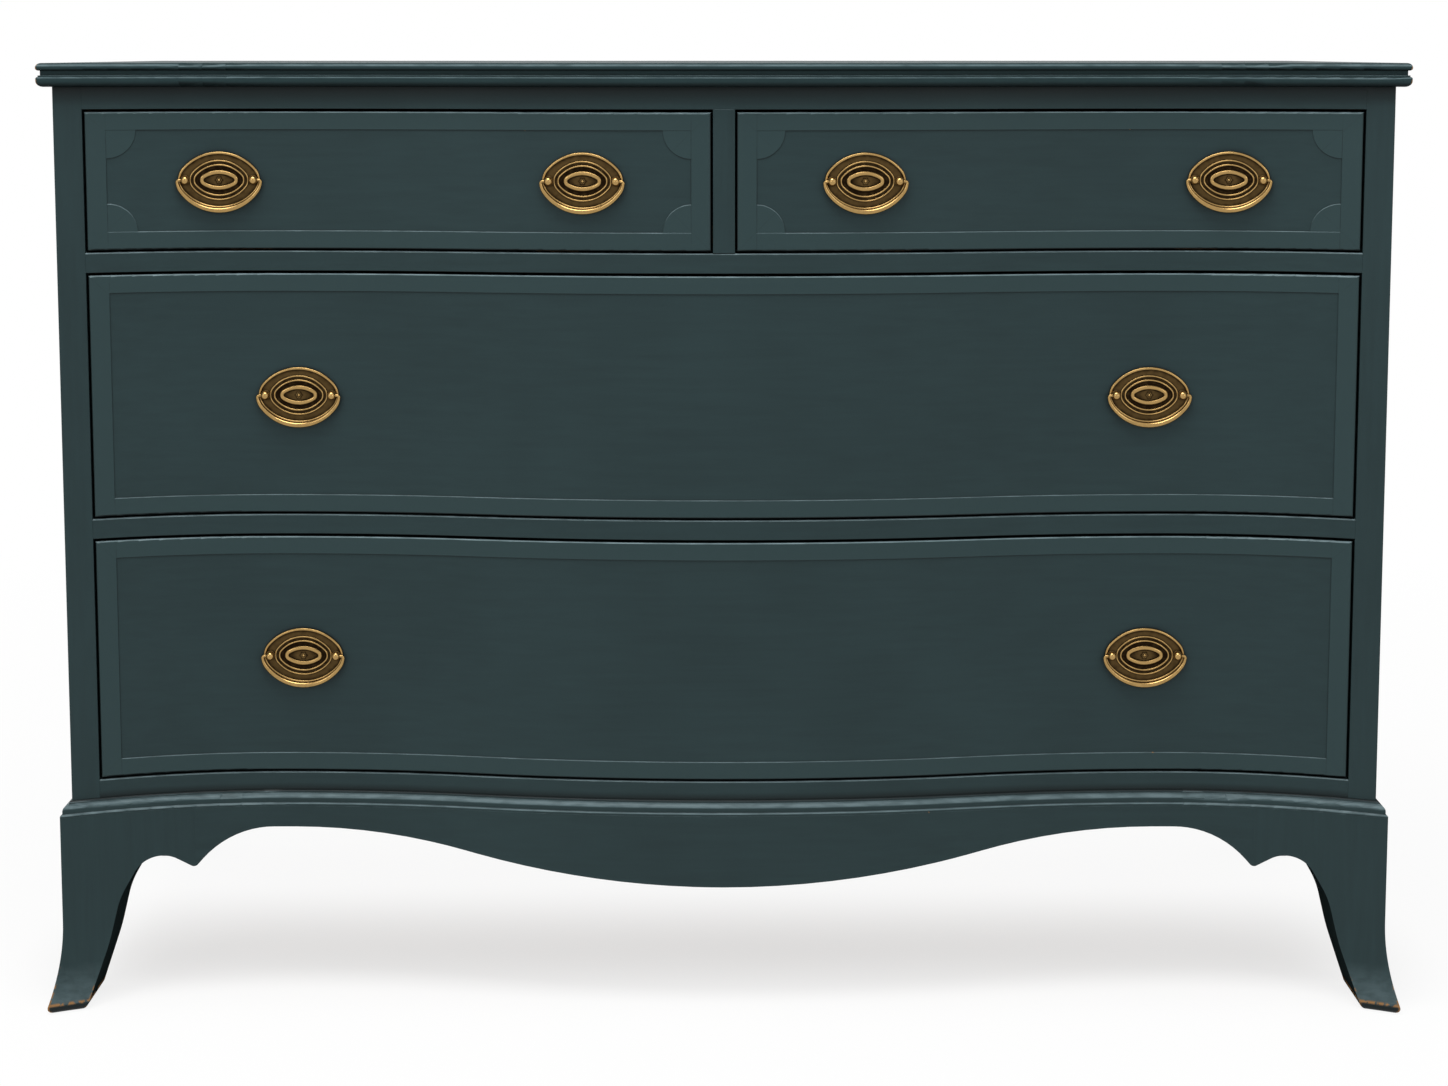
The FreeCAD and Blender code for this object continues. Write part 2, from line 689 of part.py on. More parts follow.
def pull_bail():
    """Hanging bail, thicker in the middle than at its arms, with a pin turned inwards at each end."""
    half_width_end = bail_end_width / 2
    outer = oval_arcs(arm_x + half_width_end, bail_drop, bail_end_radius + half_width_end)
    inner = oval_arcs(arm_x - half_width_end, bail_drop - bail_middle_width,
                      bail_end_radius - half_width_end)
    edges = []
    for oval in (outer, inner):
        joint = flipped(oval["joint"], 1, -1)
        end_arc = oval["end"].x - oval["end_centre"].x
        spread = (joint - oval["end_centre"]).normalize() + Vector(1, 0, 0)
        middle = oval["end_centre"] + spread.normalize() * end_arc
        edges.append(Part.Arc(oval["end"], middle, joint).toShape())
        edges.append(Part.Arc(flipped(oval["end"], -1, 1), flipped(middle, -1, 1),
                              flipped(joint, -1, 1)).toShape())
        edges.append(Part.Arc(joint, flipped(oval["crest"], 1, -1), flipped(joint, -1, 1)).toShape())
    cap = Vector(arm_x, 0, half_width_end)
    for side in (1, -1):
        edges.append(Part.Arc(flipped(outer["end"], side, 1), flipped(cap, side, 1),
                              flipped(inner["end"], side, 1)).toShape())
    body = prism(edges, Vector(0, -bail_depth, 0))
    flat = [edge for edge in body.Edges if edge.BoundBox.YLength < same_place]
    body = body.makeFillet(bail_end_width * bail_round_share, flat)
    body.translate(Vector(0, bail_depth / 2 - bail_axis_out, 0))
    pins = [rod(pin_end_x, arm_x, pin_radius, -bail_axis_out, 0),
            rod(-arm_x, -pin_end_x, pin_radius, -bail_axis_out, 0)]
    return body.fuse(pins).removeSplitter()


def face_angle(x):
    """Angle in degrees between the front curve at x and the X axis."""
    place = abs(x)
    if place <= crown_share * hollow_place:
        lean = math.asin(place / crown_radius)
    else:
        radius = hollow_radius if place <= hollow_place else end_radius
        lean = math.asin((hollow_place - place) / radius)
    return math.degrees(math.copysign(lean, lean * x))


def plate_lead(x):
    """How far the flat plate's back stands ahead of the curved field at the pull's middle."""
    field = front_proud - field_sink
    angle = math.radians(face_angle(x))
    samples = [x + plate_width * (number / 8 - 1 / 2) for number in range(9)]
    leads = [(place - x) * math.sin(angle) - (face_y(place, field) - face_y(x, field)) * math.cos(angle)
             for place in samples]
    return max(leads) + plate_seat


def put_on_front(shape, x, z):
    """A pull's piece turned square to the front curve and set at its place on the drawer."""
    placed = shape.copy()
    angle = face_angle(x)
    placed.rotate(Vector(0, 0, 0), up, angle)
    lead = plate_lead(x)
    ahead = Vector(math.sin(math.radians(angle)), -math.cos(math.radians(angle)), 0) * lead
    placed.translate(Vector(x, face_y(x, front_proud - field_sink), z) + ahead)
    return placed


def drawer_front(x_low, x_high, z_low, z_high, with_fans):
    """Bent front with a raised border round a sunk field, and quarter-round fans where wanted."""
    front = between_curves(x_low, x_high, front_proud, front_proud - front_thickness, z_low, z_high)
    outer = []
    for edge in front.Edges:
        middle = edge.valueAt((edge.FirstParameter + edge.LastParameter) / 2)
        ends = min(abs(middle.x - x_low), abs(middle.x - x_high)) < same_place
        level = edge.BoundBox.ZLength < same_place
        on_face = abs(middle.y - face_y(middle.x, front_proud)) < same_place
        if on_face and (ends or level):
            outer.append(edge)
    front = front.makeFillet(front_round, outer)
    left, right = x_low + band_beside, x_high - band_beside
    low, high = z_low + band_above, z_high - band_above
    field = between_curves(left, right, front_proud + overrun, front_proud - field_sink, low, high)
    if not with_fans:
        return front.cut(field)
    fans = []
    for x in (left, right):
        for z in (low, high):
            fans.append(Part.makeCylinder(fan_radius, carcase_depth,
                                          Vector(x, crown_y - overrun, z), Vector(0, 1, 0)))
    fan_step = between_curves(left, right, front_proud + overrun, front_proud - fan_sink, low, high)
    return front.cut(cut_all(field, fans)).cut(fan_step)


pull_plate_piece = pull_plate()
pull_bail_piece = pull_bail()


def drawer(name, opening, pulls, guide_x, with_fans):
    """All pieces of one drawer, keyed by node name."""
    x_low, x_high, z_low, z_high = opening
    left, right = x_low + gap_beside, x_high - gap_beside
    low, high = z_low + gap_below, z_high - gap_above
    inner_proud = front_proud - front_thickness
    front = drawer_front(left, right, low, high, with_fans)
    stock = between_curves(left, right, front_proud, inner_proud, low, high)

    side_top = high - drawer_side_drop
    sides = []
    for outer, inner in ((left, left + drawer_side_thickness), (right, right - drawer_side_thickness)):
        first, last = min(outer, inner), max(outer, inner)
        start = max(face_y(outer, front_proud), face_y(inner, front_proud)) + dovetail_lap
        board = box(first, last, start, drawer_back_y, low, side_top)
        inside = max(face_y(outer, inner_proud), face_y(inner, inner_proud))
        tails = dovetails(first, last, start, inside, low, side_top).common(stock)
        sides.append(board.cut(stock).fuse(tails.Solids).removeSplitter())
    front = cut_all(front, sides)

    bottom_low = low + drawer_bottom_recess
    bottom_high = bottom_low + drawer_bottom_thickness
    edge = drawer_side_thickness - bottom_groove
    bottom = behind_curve(left + edge, right - edge, inner_proud + bottom_groove,
                          drawer_back_y, bottom_low, bottom_high)
    front = front.cut(bottom)
    sides = [side.cut(bottom) for side in sides]

    dado = drawer_side_thickness - drawer_back_dado
    rear = box(left + dado, right - dado, drawer_back_y - 2 * drawer_side_thickness,
               drawer_back_y - drawer_side_thickness, bottom_high, side_top - drawer_back_drop)
    sides = [side.cut(rear) for side in sides]

    channel = behind_curve(guide_x - channel_width / 2, guide_x + channel_width / 2,
                           inner_proud, drawer_back_y, low + channel_lift, bottom_low)
    slot_half = guide_width / 2 + guide_clearance
    slot_top = z_low + runner_lift + guide_height + channel_head_clearance
    slot = box(guide_x - slot_half, guide_x + slot_half, crown_y, drawer_back_y, z_low, slot_top)
    channel = channel.cut(slot)

    plates, posts, nuts, bails = [], [], [], []
    for x, z in pulls:
        seat = plate_lead(x)
        plates.append(put_on_front(pull_plate_piece, x, z))
        for piece in pair(pull_post(seat)):
            posts.append(put_on_front(piece, x, z))
        for piece in pair(pull_nut(seat)):
            nuts.append(put_on_front(piece, x, z))
        bails.append(put_on_front(pull_bail_piece, x, z))
        for hole in pair(post_hole(seat)):
            front = front.cut(put_on_front(hole, x, z))
    return {
        name + "_front": [front],
        name + "_sides": sides,
        name + "_back": [rear],
        name + "_bottom": [bottom],
        name + "_runner": [channel],
        name + "_pull_plates": plates,
        name + "_pull_posts": posts + nuts,
        name + "_left_bail": [bails[0]],
        name + "_right_bail": [bails[1]],
    }


def runner_frame(z_low, z_high, middles, rear_z_low):
    """Side runners, runners between them and the rail at the back of one level."""
    frame = [box(-half_inside, half_inside, rear_rail_y, frame_back_y, rear_z_low, z_high)]
    for side in (1, -1):
        inner = side * (half_inside - runner_width)
        outer = side * half_inside
        frame.append(box(min(inner, outer), max(inner, outer), rail_back_y, rear_rail_y, z_low, z_high))
    for x in middles:
        frame.append(box(x - centre_runner_width / 2, x + centre_runner_width / 2,
                         rail_back_y, rear_rail_y, z_low, z_high))
    return frame


def dust_boards(z_low, middles):
    """Thin boards that close the spaces between the runners of one level."""
    edges = [-half_inside + runner_width]
    for x in middles:
        edges += [x - centre_runner_width / 2, x + centre_runner_width / 2]
    edges.append(half_inside - runner_width)
    return [box(left - dust_groove, right + dust_groove, rail_back_y - dust_groove,
                rear_rail_y + dust_groove, z_low, z_low + dust_thickness)
            for left, right in zip(edges[::2], edges[1::2])]


# Openings of the case: left, right, low and high
half_stile = centre_stile_width / 2
openings = {
    "upper_left_drawer": (-half_opening, -half_stile, upper_opening_z, top_rail_z),
    "upper_right_drawer": (half_stile, half_opening, upper_opening_z, top_rail_z),
    "middle_drawer": (-half_opening, half_opening, middle_opening_z, upper_divider_z),
    "bottom_drawer": (-half_opening, half_opening, bottom_opening_z, lower_divider_z),
}
small_middle = (half_stile + half_opening) / 2
deep_pull_x = half_opening - deep_pull_inset
pull_places = {
    "upper_left_drawer": (-half_opening + small_pull_inset, -half_stile - small_pull_inset),
    "upper_right_drawer": (half_stile + small_pull_inset, half_opening - small_pull_inset),
    "middle_drawer": (-deep_pull_x, deep_pull_x),
    "bottom_drawer": (-deep_pull_x, deep_pull_x),
}

pieces = {}

# Case front: stiles, rails and the short stile between the small drawers
stile = behind_curve(half_opening, half_width, 0, stile_back_y, base_height, carcase_top)
pieces["front_stiles"] = pair(stile)
pieces["top_rail"] = [behind_curve(-half_opening, half_opening, 0, rail_back_y, top_rail_z, carcase_top)]
pieces["upper_drawer_rail"] = [rail(upper_divider_z, upper_opening_z)]
pieces["lower_drawer_rail"] = [rail(lower_divider_z, middle_opening_z)]
pieces["bottom_rail"] = [rail(base_height, bottom_opening_z)]
pieces["centre_stile"] = [behind_curve(-half_stile, half_stile, 0, rail_back_y, upper_opening_z, top_rail_z)]

# Sides and back
back_panel = box(-half_inside - back_rabbet, half_inside + back_rabbet,
                 frame_back_y, back_y, base_height, carcase_top)
side_panel = box(half_inside, half_width, stile_back_y, back_y, base_height, carcase_top).cut(back_panel)
pieces["back_panel"] = [back_panel]
pieces["left_side_panel"] = [mirrored(side_panel)]
pieces["right_side_panel"] = [side_panel]
pieces["top_board"] = [top_board()]

# Frames under the drawers and over the small ones, with their dust boards
levels = [
    (bottom_opening_z - divider_thickness, bottom_opening_z + runner_lift, (0,), base_height),
    (lower_divider_z, middle_opening_z + runner_lift, (0,), lower_divider_z),
    (upper_divider_z, upper_opening_z + runner_lift, (-small_middle, 0, small_middle), upper_divider_z),
    (carcase_top - divider_thickness, carcase_top, (0,), carcase_top - divider_thickness),
]
frames = []
dust = []
for z_low, z_high, middles, rear_z_low in levels:
    frames += runner_frame(z_low, z_high, middles, rear_z_low)
for z_low, z_high, middles, rear_z_low in levels[:-1]:
    dust += dust_boards(z_low + (divider_thickness - dust_thickness) / 2, middles)
pieces["runner_frames"] = [cut_all(frame, dust) for frame in frames]
pieces["dust_panels"] = dust
for name in ("upper_drawer_rail", "lower_drawer_rail", "bottom_rail"):
    pieces[name] = [cut_all(rail, dust) for rail in pieces[name]]

# Guides: a strip under each drawer's middle, one between the small drawers, and one at each end
guides = []
for x, level in ((-small_middle, 2), (small_middle, 2), (0, 1), (0, 0)):
    z = levels[level][1]
    guides.append(box(x - guide_width / 2, x + guide_width / 2, rail_back_y, rear_rail_y,
                      z, z + guide_height))
side_guide_x = half_opening - gap_beside + guide_clearance
for z_low, z_high, middles, rear_z_low in levels[:-1]:
    guides += pair(box(side_guide_x, half_inside, rail_back_y, rear_rail_y,
                       z_high, z_high + side_guide_height))
middle_guide = half_stile + gap_beside - guide_clearance
guides.append(box(-middle_guide, middle_guide, rail_back_y, rear_rail_y,
                  levels[2][1], levels[2][1] + side_guide_height))
pieces["centre_guides"] = guides

# Stops on the rails, just behind the closed drawer fronts
stops = []
stop_face = front_proud - front_thickness - stop_clearance
for x_low, x_high, z_low, z_high in openings.values():
    for share in stop_shares:
        x = x_low + (x_high - x_low) * share
        stops.append(between_curves(x - stop_width / 2, x + stop_width / 2, stop_face,
                                    stop_face - stop_depth, z_low, z_low + stop_height))
pieces["drawer_stops"] = stops

# Base: moulding, apron, feet and what braces them
pieces["base_moulding"] = base_moulding()
pieces["front_apron"] = [front_apron()]
pieces["side_aprons"] = pair(side_apron())
right_front = front_foot()
right_rear = rear_foot()
pieces["front_right_foot"] = [right_front]
pieces["front_left_foot"] = [mirrored(right_front)]
pieces["rear_right_foot"] = [right_rear]
pieces["rear_left_foot"] = [mirrored(right_rear)]
rear_inner = base_half - foot_thickness
pieces["base_rear_rail"] = [box(-rear_inner, rear_inner, back_y - apron_thickness, back_y,
                                base_height - rear_base_rail_height, base_height)]
blocks = corner_blocks()

# Screws: up through the top frame into the top, and up through the blocks into the case
block_middle_x = base_half - foot_thickness - block_size / 2
screws = []
holes = []
for share in top_screw_shares:
    place = (half_inside - runner_width / 2, rail_back_y + (rear_rail_y - rail_back_y) * share,
             carcase_top - divider_thickness, divider_thickness + top_screw_bite)
    screws += pair(screw(*place))
    holes += pair(screw_hole(*place))
front_block_screw_y = (face_y(block_middle_x, base_proud - front_foot_thickness) + rail_back_y) / 2
for y in (front_block_screw_y, back_y - apron_thickness - block_size / 2):
    place = (block_middle_x, y, base_height - block_height, block_height + block_screw_bite)
    screws += pair(screw(*place))
    holes += pair(screw_hole(*place))
pieces["carcase_screws"] = screws
pieces["corner_blocks"] = [cut_all(block, holes) for piece in blocks for block in pair(piece)]
for name in ("top_board", "runner_frames", "bottom_rail"):
    pieces[name] = [cut_all(solid, holes) for solid in pieces[name]]

# Drawers
for name, opening in openings.items():
    x_low, x_high, z_low, z_high = opening
    small = x_high - x_low < half_width
    pull_z = (z_low + z_high) / 2 - (0 if small else deep_pull_drop)
    pulls = [(x, pull_z) for x in pull_places[name]]
    pieces.update(drawer(name, opening, pulls, (x_low + x_high) / 2, small))

for name, solids in pieces.items():
    shape = solids[0] if len(solids) == 1 else Part.makeCompound(solids)
    shape.exportStep("parts/" + name + ".step")
    print(name, len(shape.Solids), "solids", shape.isValid())
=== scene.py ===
# %% [markdown]
# # A serpentine-front dresser in dark blue-green paint
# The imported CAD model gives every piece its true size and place. This file dresses it: it smooths
# the curved boards, builds the brass pulls, writes the paint, brass and wood, and sets up a plain
# studio.

# %% Load the frame
import json
import math
import bmesh
import bpy
from mathutils import Matrix, Vector

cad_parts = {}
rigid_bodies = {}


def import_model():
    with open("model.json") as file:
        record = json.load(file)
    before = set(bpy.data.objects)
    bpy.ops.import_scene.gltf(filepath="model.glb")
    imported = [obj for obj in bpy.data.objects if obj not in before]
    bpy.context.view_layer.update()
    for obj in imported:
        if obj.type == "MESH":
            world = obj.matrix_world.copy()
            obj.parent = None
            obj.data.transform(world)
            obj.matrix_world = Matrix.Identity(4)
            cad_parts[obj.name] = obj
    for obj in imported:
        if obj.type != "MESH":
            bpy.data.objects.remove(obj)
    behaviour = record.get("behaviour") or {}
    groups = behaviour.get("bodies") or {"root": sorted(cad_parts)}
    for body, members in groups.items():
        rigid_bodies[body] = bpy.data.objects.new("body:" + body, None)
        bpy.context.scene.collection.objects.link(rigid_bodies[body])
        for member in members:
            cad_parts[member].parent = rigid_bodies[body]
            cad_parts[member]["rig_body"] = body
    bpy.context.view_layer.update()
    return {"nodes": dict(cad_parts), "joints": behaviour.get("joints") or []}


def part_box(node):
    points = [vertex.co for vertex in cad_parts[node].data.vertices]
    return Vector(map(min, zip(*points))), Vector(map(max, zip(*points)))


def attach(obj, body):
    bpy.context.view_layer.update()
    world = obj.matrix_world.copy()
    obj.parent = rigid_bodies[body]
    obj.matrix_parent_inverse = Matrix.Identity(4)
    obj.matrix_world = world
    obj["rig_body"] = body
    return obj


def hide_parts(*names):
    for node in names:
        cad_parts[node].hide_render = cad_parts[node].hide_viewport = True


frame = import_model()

mm = 0.001
nodes = frame["nodes"]
drawers = ("upper_left_drawer", "upper_right_drawer", "middle_drawer", "bottom_drawer")
hands = ("left", "right")

# %% [markdown]
# ## Camera
# The picture is taken from straight ahead, a little above the top. The lens is long, so the case
# looks almost flat, and the small downward tilt makes its sides draw in towards the floor.
# The frame is shifted rather than tilted further, which keeps the sides from drawing in too much.

# %% Make the camera
frame_width = 1448
camera_distance = 2.76  # ahead of the crown of the front
camera_height = 0.9135
camera_tilt = math.radians(7.2)
focal_pixels = 2951
picture_shift = -0.0827
sensor = 36.0


def put_in_scene(name, data):
    """An object for a mesh, a light or a camera, linked to the scene."""
    thing = bpy.data.objects.new(name, data)
    bpy.context.scene.collection.objects.link(thing)
    return thing


crown_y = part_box("bottom_rail")[0].y
camera_data = bpy.data.cameras.new("camera")
camera_data.sensor_width = sensor
camera_data.lens = focal_pixels * sensor / frame_width
camera_data.shift_y = picture_shift
camera = put_in_scene("camera", camera_data)
camera.location = (0, crown_y - camera_distance, camera_height)
camera.rotation_euler = (math.pi / 2 - camera_tilt, 0, 0)
bpy.context.scene.camera = camera
print("lens", round(camera_data.lens, 1), "mm")

# %% [markdown]
# ## Helpers for nodes
# Every finish is a short tree of nodes. These helpers add a node with its settings, so that each
# finish below reads as a list of layers.

# %% Add and link nodes
def add(tree, kind, values=None, **settings):
    """A new node with the given settings and unlinked input values."""
    node = tree.nodes.new(kind)
    for key, value in settings.items():
        setattr(node, key, value)
    for key, value in (values or {}).items():
        node.inputs[key].default_value = value
    return node


def join(tree, source, target):
    """Links an output to an input."""
    tree.links.new(source, target)


def follow(tree, source, kind, values=None, **settings):
    """A new node whose first input comes from a source."""
    node = add(tree, kind, values, **settings)
    join(tree, source, node.inputs[0])
    return node


def feed(tree, socket, value):
    """Links an input to an output, or sets it to a plain value."""
    if isinstance(value, bpy.types.NodeSocket):
        join(tree, value, socket)
    else:
        socket.default_value = value


def math_node(tree, operation, first, second=0.0, third=0.0, clamp=False):
    """A maths node on links or plain numbers, giving its output."""
    node = add(tree, "ShaderNodeMath", operation=operation, use_clamp=clamp)
    for socket, value in zip(node.inputs, (first, second, third)):
        feed(tree, socket, value)
    return node.outputs[0]


def times(tree, *factors):
    """The product of several values."""
    result = factors[0]
    for factor in factors[1:]:
        result = math_node(tree, "MULTIPLY", result, factor)
    return result


def minus(tree, first, second):
    """The first value less the second."""
    return math_node(tree, "SUBTRACT", first, second)


def most(tree, first, second):
    """The larger of two values."""
    return math_node(tree, "MAXIMUM", first, second)


def ramp(tree, source, low, high, start=0.0, end=1.0, kind="LINEAR"):
    """A value spread from one range to another, held at its ends, which SMOOTHSTEP eases."""
    values = {"From Min": low, "From Max": high, "To Min": start, "To Max": end}
    return follow(tree, source, "ShaderNodeMapRange", values, interpolation_type=kind).outputs[0]


print("node helpers ready")

# %% Helpers for finishes
mix_inputs = (0, 6, 7)  # the Mix node's sockets for a factor and two colours
mix_result = 2  # and for the colour that comes out


def new_material(name):
    """An empty material with its tree and its main shader."""
    material = bpy.data.materials.new(name)
    material.use_nodes = True
    tree = material.node_tree
    return material, tree, tree.nodes["Principled BSDF"]


def mix_colour(tree, factor, first, second):
    """One colour laid over another by a factor, each a link or a plain colour."""
    node = add(tree, "ShaderNodeMix", data_type="RGBA")
    for number, value in zip(mix_inputs, (factor, first, second)):
        feed(tree, node.inputs[number], value)
    return node.outputs[mix_result]


def linear(red, green, blue):
    """A colour as seen on screen, 0 to 255, turned into the linear values that Blender mixes."""
    values = []
    for channel in (red, green, blue):
        share = channel / 255
        values.append(share / 12.92 if share <= 0.04045 else ((share + 0.055) / 1.055) ** 2.4)
    return (*values, 1.0)


def object_noise(tree, scale, stretch=(1, 1, 1), detail=3.0, roughness=0.5):
    """Noise in the object's own coordinates, stretched along its axes."""
    place = add(tree, "ShaderNodeTexCoord").outputs["Object"]
    mapping = follow(tree, place, "ShaderNodeMapping", {"Scale": stretch})
    values = {"Scale": scale, "Detail": detail, "Roughness": roughness}
    return follow(tree, mapping.outputs[0], "ShaderNodeTexNoise", values).outputs["Fac"]


def finish_with(tree, shader, colour, roughness, height, strength, depth, normal=None):
    """Sets a shader's colour, its roughness, and small bumps of a depth that follow a height."""
    join(tree, colour, shader.inputs["Base Color"])
    join(tree, roughness, shader.inputs["Roughness"])
    bump = add(tree, "ShaderNodeBump", {"Strength": strength, "Distance": depth})
    join(tree, height, bump.inputs["Height"])
    if normal is not None:
        join(tree, normal, bump.inputs["Normal"])
    join(tree, bump.outputs["Normal"], shader.inputs["Normal"])


print("finish helpers ready")

# %% [markdown]
# ## Paint
# The whole case is brushed with a satin paint. Close up it isn't one colour: the brush leaves
# faint streaks, and the toes and the tips of the top have worn through to golden wood. Edges that
# face up get a painted highlight, a lighter colour that stands in for the light they catch.
# Painted shade darkens edges that face down, closed corners, the soles, and a band where a piece
# meets the one above or below it. Each of these is a mask from 0 to 1 that lays one colour over
# another; the masks read the object's own coordinates, the direction that a surface faces, and
# for closed corners how closed in it is.

# %% Masks for the paint
def split_axes(tree, source):
    """X, Y and Z of a place or a direction."""
    return follow(tree, source, "ShaderNodeSeparateXYZ").outputs


def place_axes(tree):
    """X, Y and Z of the point being shaded, in metres."""
    return split_axes(tree, add(tree, "ShaderNodeTexCoord").outputs["Object"])


def between(tree, value, low, high, soft):
    """1 where the value lies between two limits, with soft ends."""
    rise = ramp(tree, value, low - soft, low + soft)
    fall = ramp(tree, value, high - soft, high + soft, 1.0, 0.0)
    return times(tree, rise, fall)


def line_at(tree, value, place, half_width):
    """1 on a hairline where the value passes a place."""
    off = math_node(tree, "ABSOLUTE", minus(tree, value, place))
    return ramp(tree, off, half_width * 0.4, half_width, 1.0, 0.0)


def edge_mask(tree, radius, low, high):
    """0 on flat faces, rising to 1 on edges that a round of this radius would soften."""
    bevel = add(tree, "ShaderNodeBevel", {"Radius": radius}, samples=6)
    dot = follow(tree, bevel.outputs["Normal"], "ShaderNodeVectorMath", operation="DOT_PRODUCT")
    join(tree, add(tree, "ShaderNodeNewGeometry").outputs["Normal"], dot.inputs[1])
    return ramp(tree, dot.outputs["Value"], high, low)


print("masks ready")

# %% Set the paint's colours and wear
paint_colour = (0.0188, 0.0368, 0.0396)
# near-black paint for the feet's inner faces: painted shade where they look in under the case
inside_shade_colour = (0.0095, 0.0145, 0.015)
# painted highlight colour, for edges that face up
painted_highlight_colour = linear(118, 138, 143)
# painted shade colour, for edges that face down, closed corners, the soles and bands where pieces meet
painted_shade_colour = linear(16, 23, 24)
worn_wood = linear(152, 110, 64)
strokes = {"across": (0.7, 7.0, 11.0), "upright": (11.0, 11.0, 0.7), "deep": (11.0, 0.7, 11.0)}
scales = {"cloud": 7.0, "strokes": 16.0, "patches": 45.0, "flecks": 150.0, "grit": 1100.0}
tone_span = (0.36, 0.64)  # a mixed noise seldom leaves this span
highlight_start = 0.28  # how far up an edge faces where the painted highlight starts
highlight_soft = 0.12
level_facing = (0.96, 0.88)  # from a level face to a sloping one
underside_shade = (-0.2, -0.7)  # painted shade on edges that face down sets in at the first and is full at the second
corner_shade = (0.3, 0.92)  # painted shade, from a closed corner to an open face
shade_reach = 22 * mm
toe_round = 8 * mm
toe_wear = (0.06, 0.012)  # heights between which wear grows
tip_x = (0.6315, 0.6345)  # and where the tips of the top begin
tip_y = (-0.165, -0.185)
tip_z = (0.87, 0.875)
wear_at_ends = 0.24
wear_anywhere = 0.05
fleck_edge = (0.76, 0.8)
print("paint runs", *strokes)


# %% Mix the paint
def paint(name, direction, edge_round=0.8 * mm, highlight_amount=0.6, highlight_limit=0.93, details=None,
          colour=paint_colour, specular=0.15, wear_reach=1.7 * mm, shade_band=None,
          flat_top=None):
    """Brushed satin paint; details(tree, body) may lay more over the colour before the wear.

    Edges that face up get a painted highlight; edges that face down, closed corners and the soles get
    painted shade.
    Painted shade thickens from the first height of the shade band given to the second, which is a joint.
    The level face at flat_top's height gets no painted highlight but on its edges.
    """
    material, tree, shader = new_material(name)
    x, y, z = place_axes(tree)
    softened = add(tree, "ShaderNodeBevel", {"Radius": edge_round}, samples=8).outputs["Normal"]
    rise = split_axes(tree, softened)[2]
    cloud = object_noise(tree, scales["cloud"], detail=4.0)
    streaks = object_noise(tree, scales["strokes"], strokes[direction], detail=6.0, roughness=0.62)
    grit = object_noise(tree, scales["grit"], detail=2.0)
    tone = math_node(tree, "MULTIPLY_ADD", streaks, 0.55, times(tree, cloud, 0.45))
    dark, light = ([channel * share for channel in colour] + [1.0] for share in (0.9, 1.1))
    body = mix_colour(tree, ramp(tree, tone, *tone_span), dark, light)
    if details:
        body = details(tree, body)
    patches = object_noise(tree, scales["patches"], (1.0, 4.0, 4.0), detail=4.0)
    patchy = ramp(tree, patches, 0.3, 0.62, 0.45, 1.0)
    # Painted highlight: edges that face up get a lighter colour that stands in for the light they catch.
    highlight_mask = times(tree, between(tree, rise, highlight_start, highlight_limit, highlight_soft), patchy, highlight_amount)
    if flat_top:
        below = ramp(tree, z, flat_top - 0.3 * mm, flat_top - 0.6 * mm)
        highlight_mask = times(tree, highlight_mask, most(tree, below, ramp(tree, rise, *level_facing)))
    body = mix_colour(tree, highlight_mask, body, painted_highlight_colour)
    # Painted shade: edges that face down, the band given, closed corners found by ambient occlusion and
    # the soles darken towards the shade colour.
    corner = add(tree, "ShaderNodeAmbientOcclusion", {"Distance": shade_reach}, samples=6)
    painted_shades = [times(tree, ramp(tree, rise, *underside_shade), 0.85)]
    if shade_band:
        painted_shades.append(ramp(tree, z, *shade_band, 0.0, 0.95))
    painted_shades.append(ramp(tree, corner.outputs["AO"], *corner_shade, 0.85, 0.0))
    # painted shade on the soles, below the round of the toes
    painted_shades.append(ramp(tree, z, toe_round + 0.5 * mm, toe_round - 2 * mm, 0.0, 0.7))
    for darkening in painted_shades:
        body = mix_colour(tree, darkening, body, painted_shade_colour)
    scuffs = between(tree, z, toe_round - 0.5 * mm, toe_round + 1.5 * mm, 1 * mm)
    edges = most(tree, edge_mask(tree, wear_reach, 0.9, 0.985), scuffs)
    tips = times(tree, ramp(tree, math_node(tree, "ABSOLUTE", x), *tip_x),
                 ramp(tree, y, *tip_y), ramp(tree, z, *tip_z))
    ends = most(tree, ramp(tree, z, *toe_wear), tips)
    chance = math_node(tree, "MULTIPLY_ADD", ends, wear_at_ends, wear_anywhere)
    flecks = object_noise(tree, scales["flecks"], detail=5.0, roughness=0.65)
    worn = times(tree, edges, ramp(tree, math_node(tree, "ADD", flecks, chance), *fleck_edge))
    body = mix_colour(tree, worn, body, worn_wood)
    gloss = ramp(tree, streaks, 0.3, 0.7, 0.36, 0.48)
    shader.inputs["Specular IOR Level"].default_value = specular
    height = math_node(tree, "MULTIPLY_ADD", streaks, 0.8, times(tree, grit, 0.12))
    height = minus(tree, height, times(tree, worn, 0.6))
    finish_with(tree, shader, body, math_node(tree, "MULTIPLY_ADD", worn, 0.2, gloss), height,
                0.16, 0.35 * mm, softened)
    return material


# Heights of painted shadow bands: under the top's overhang on the top rail and uprights, on the
# moulding's top below the case, and on the bottom rail above the moulding.
shade_under_top = (862 * mm, 879 * mm)
shade_under_case = (199.3 * mm, 200.2 * mm)
shade_over_moulding = (208 * mm, 200.4 * mm)
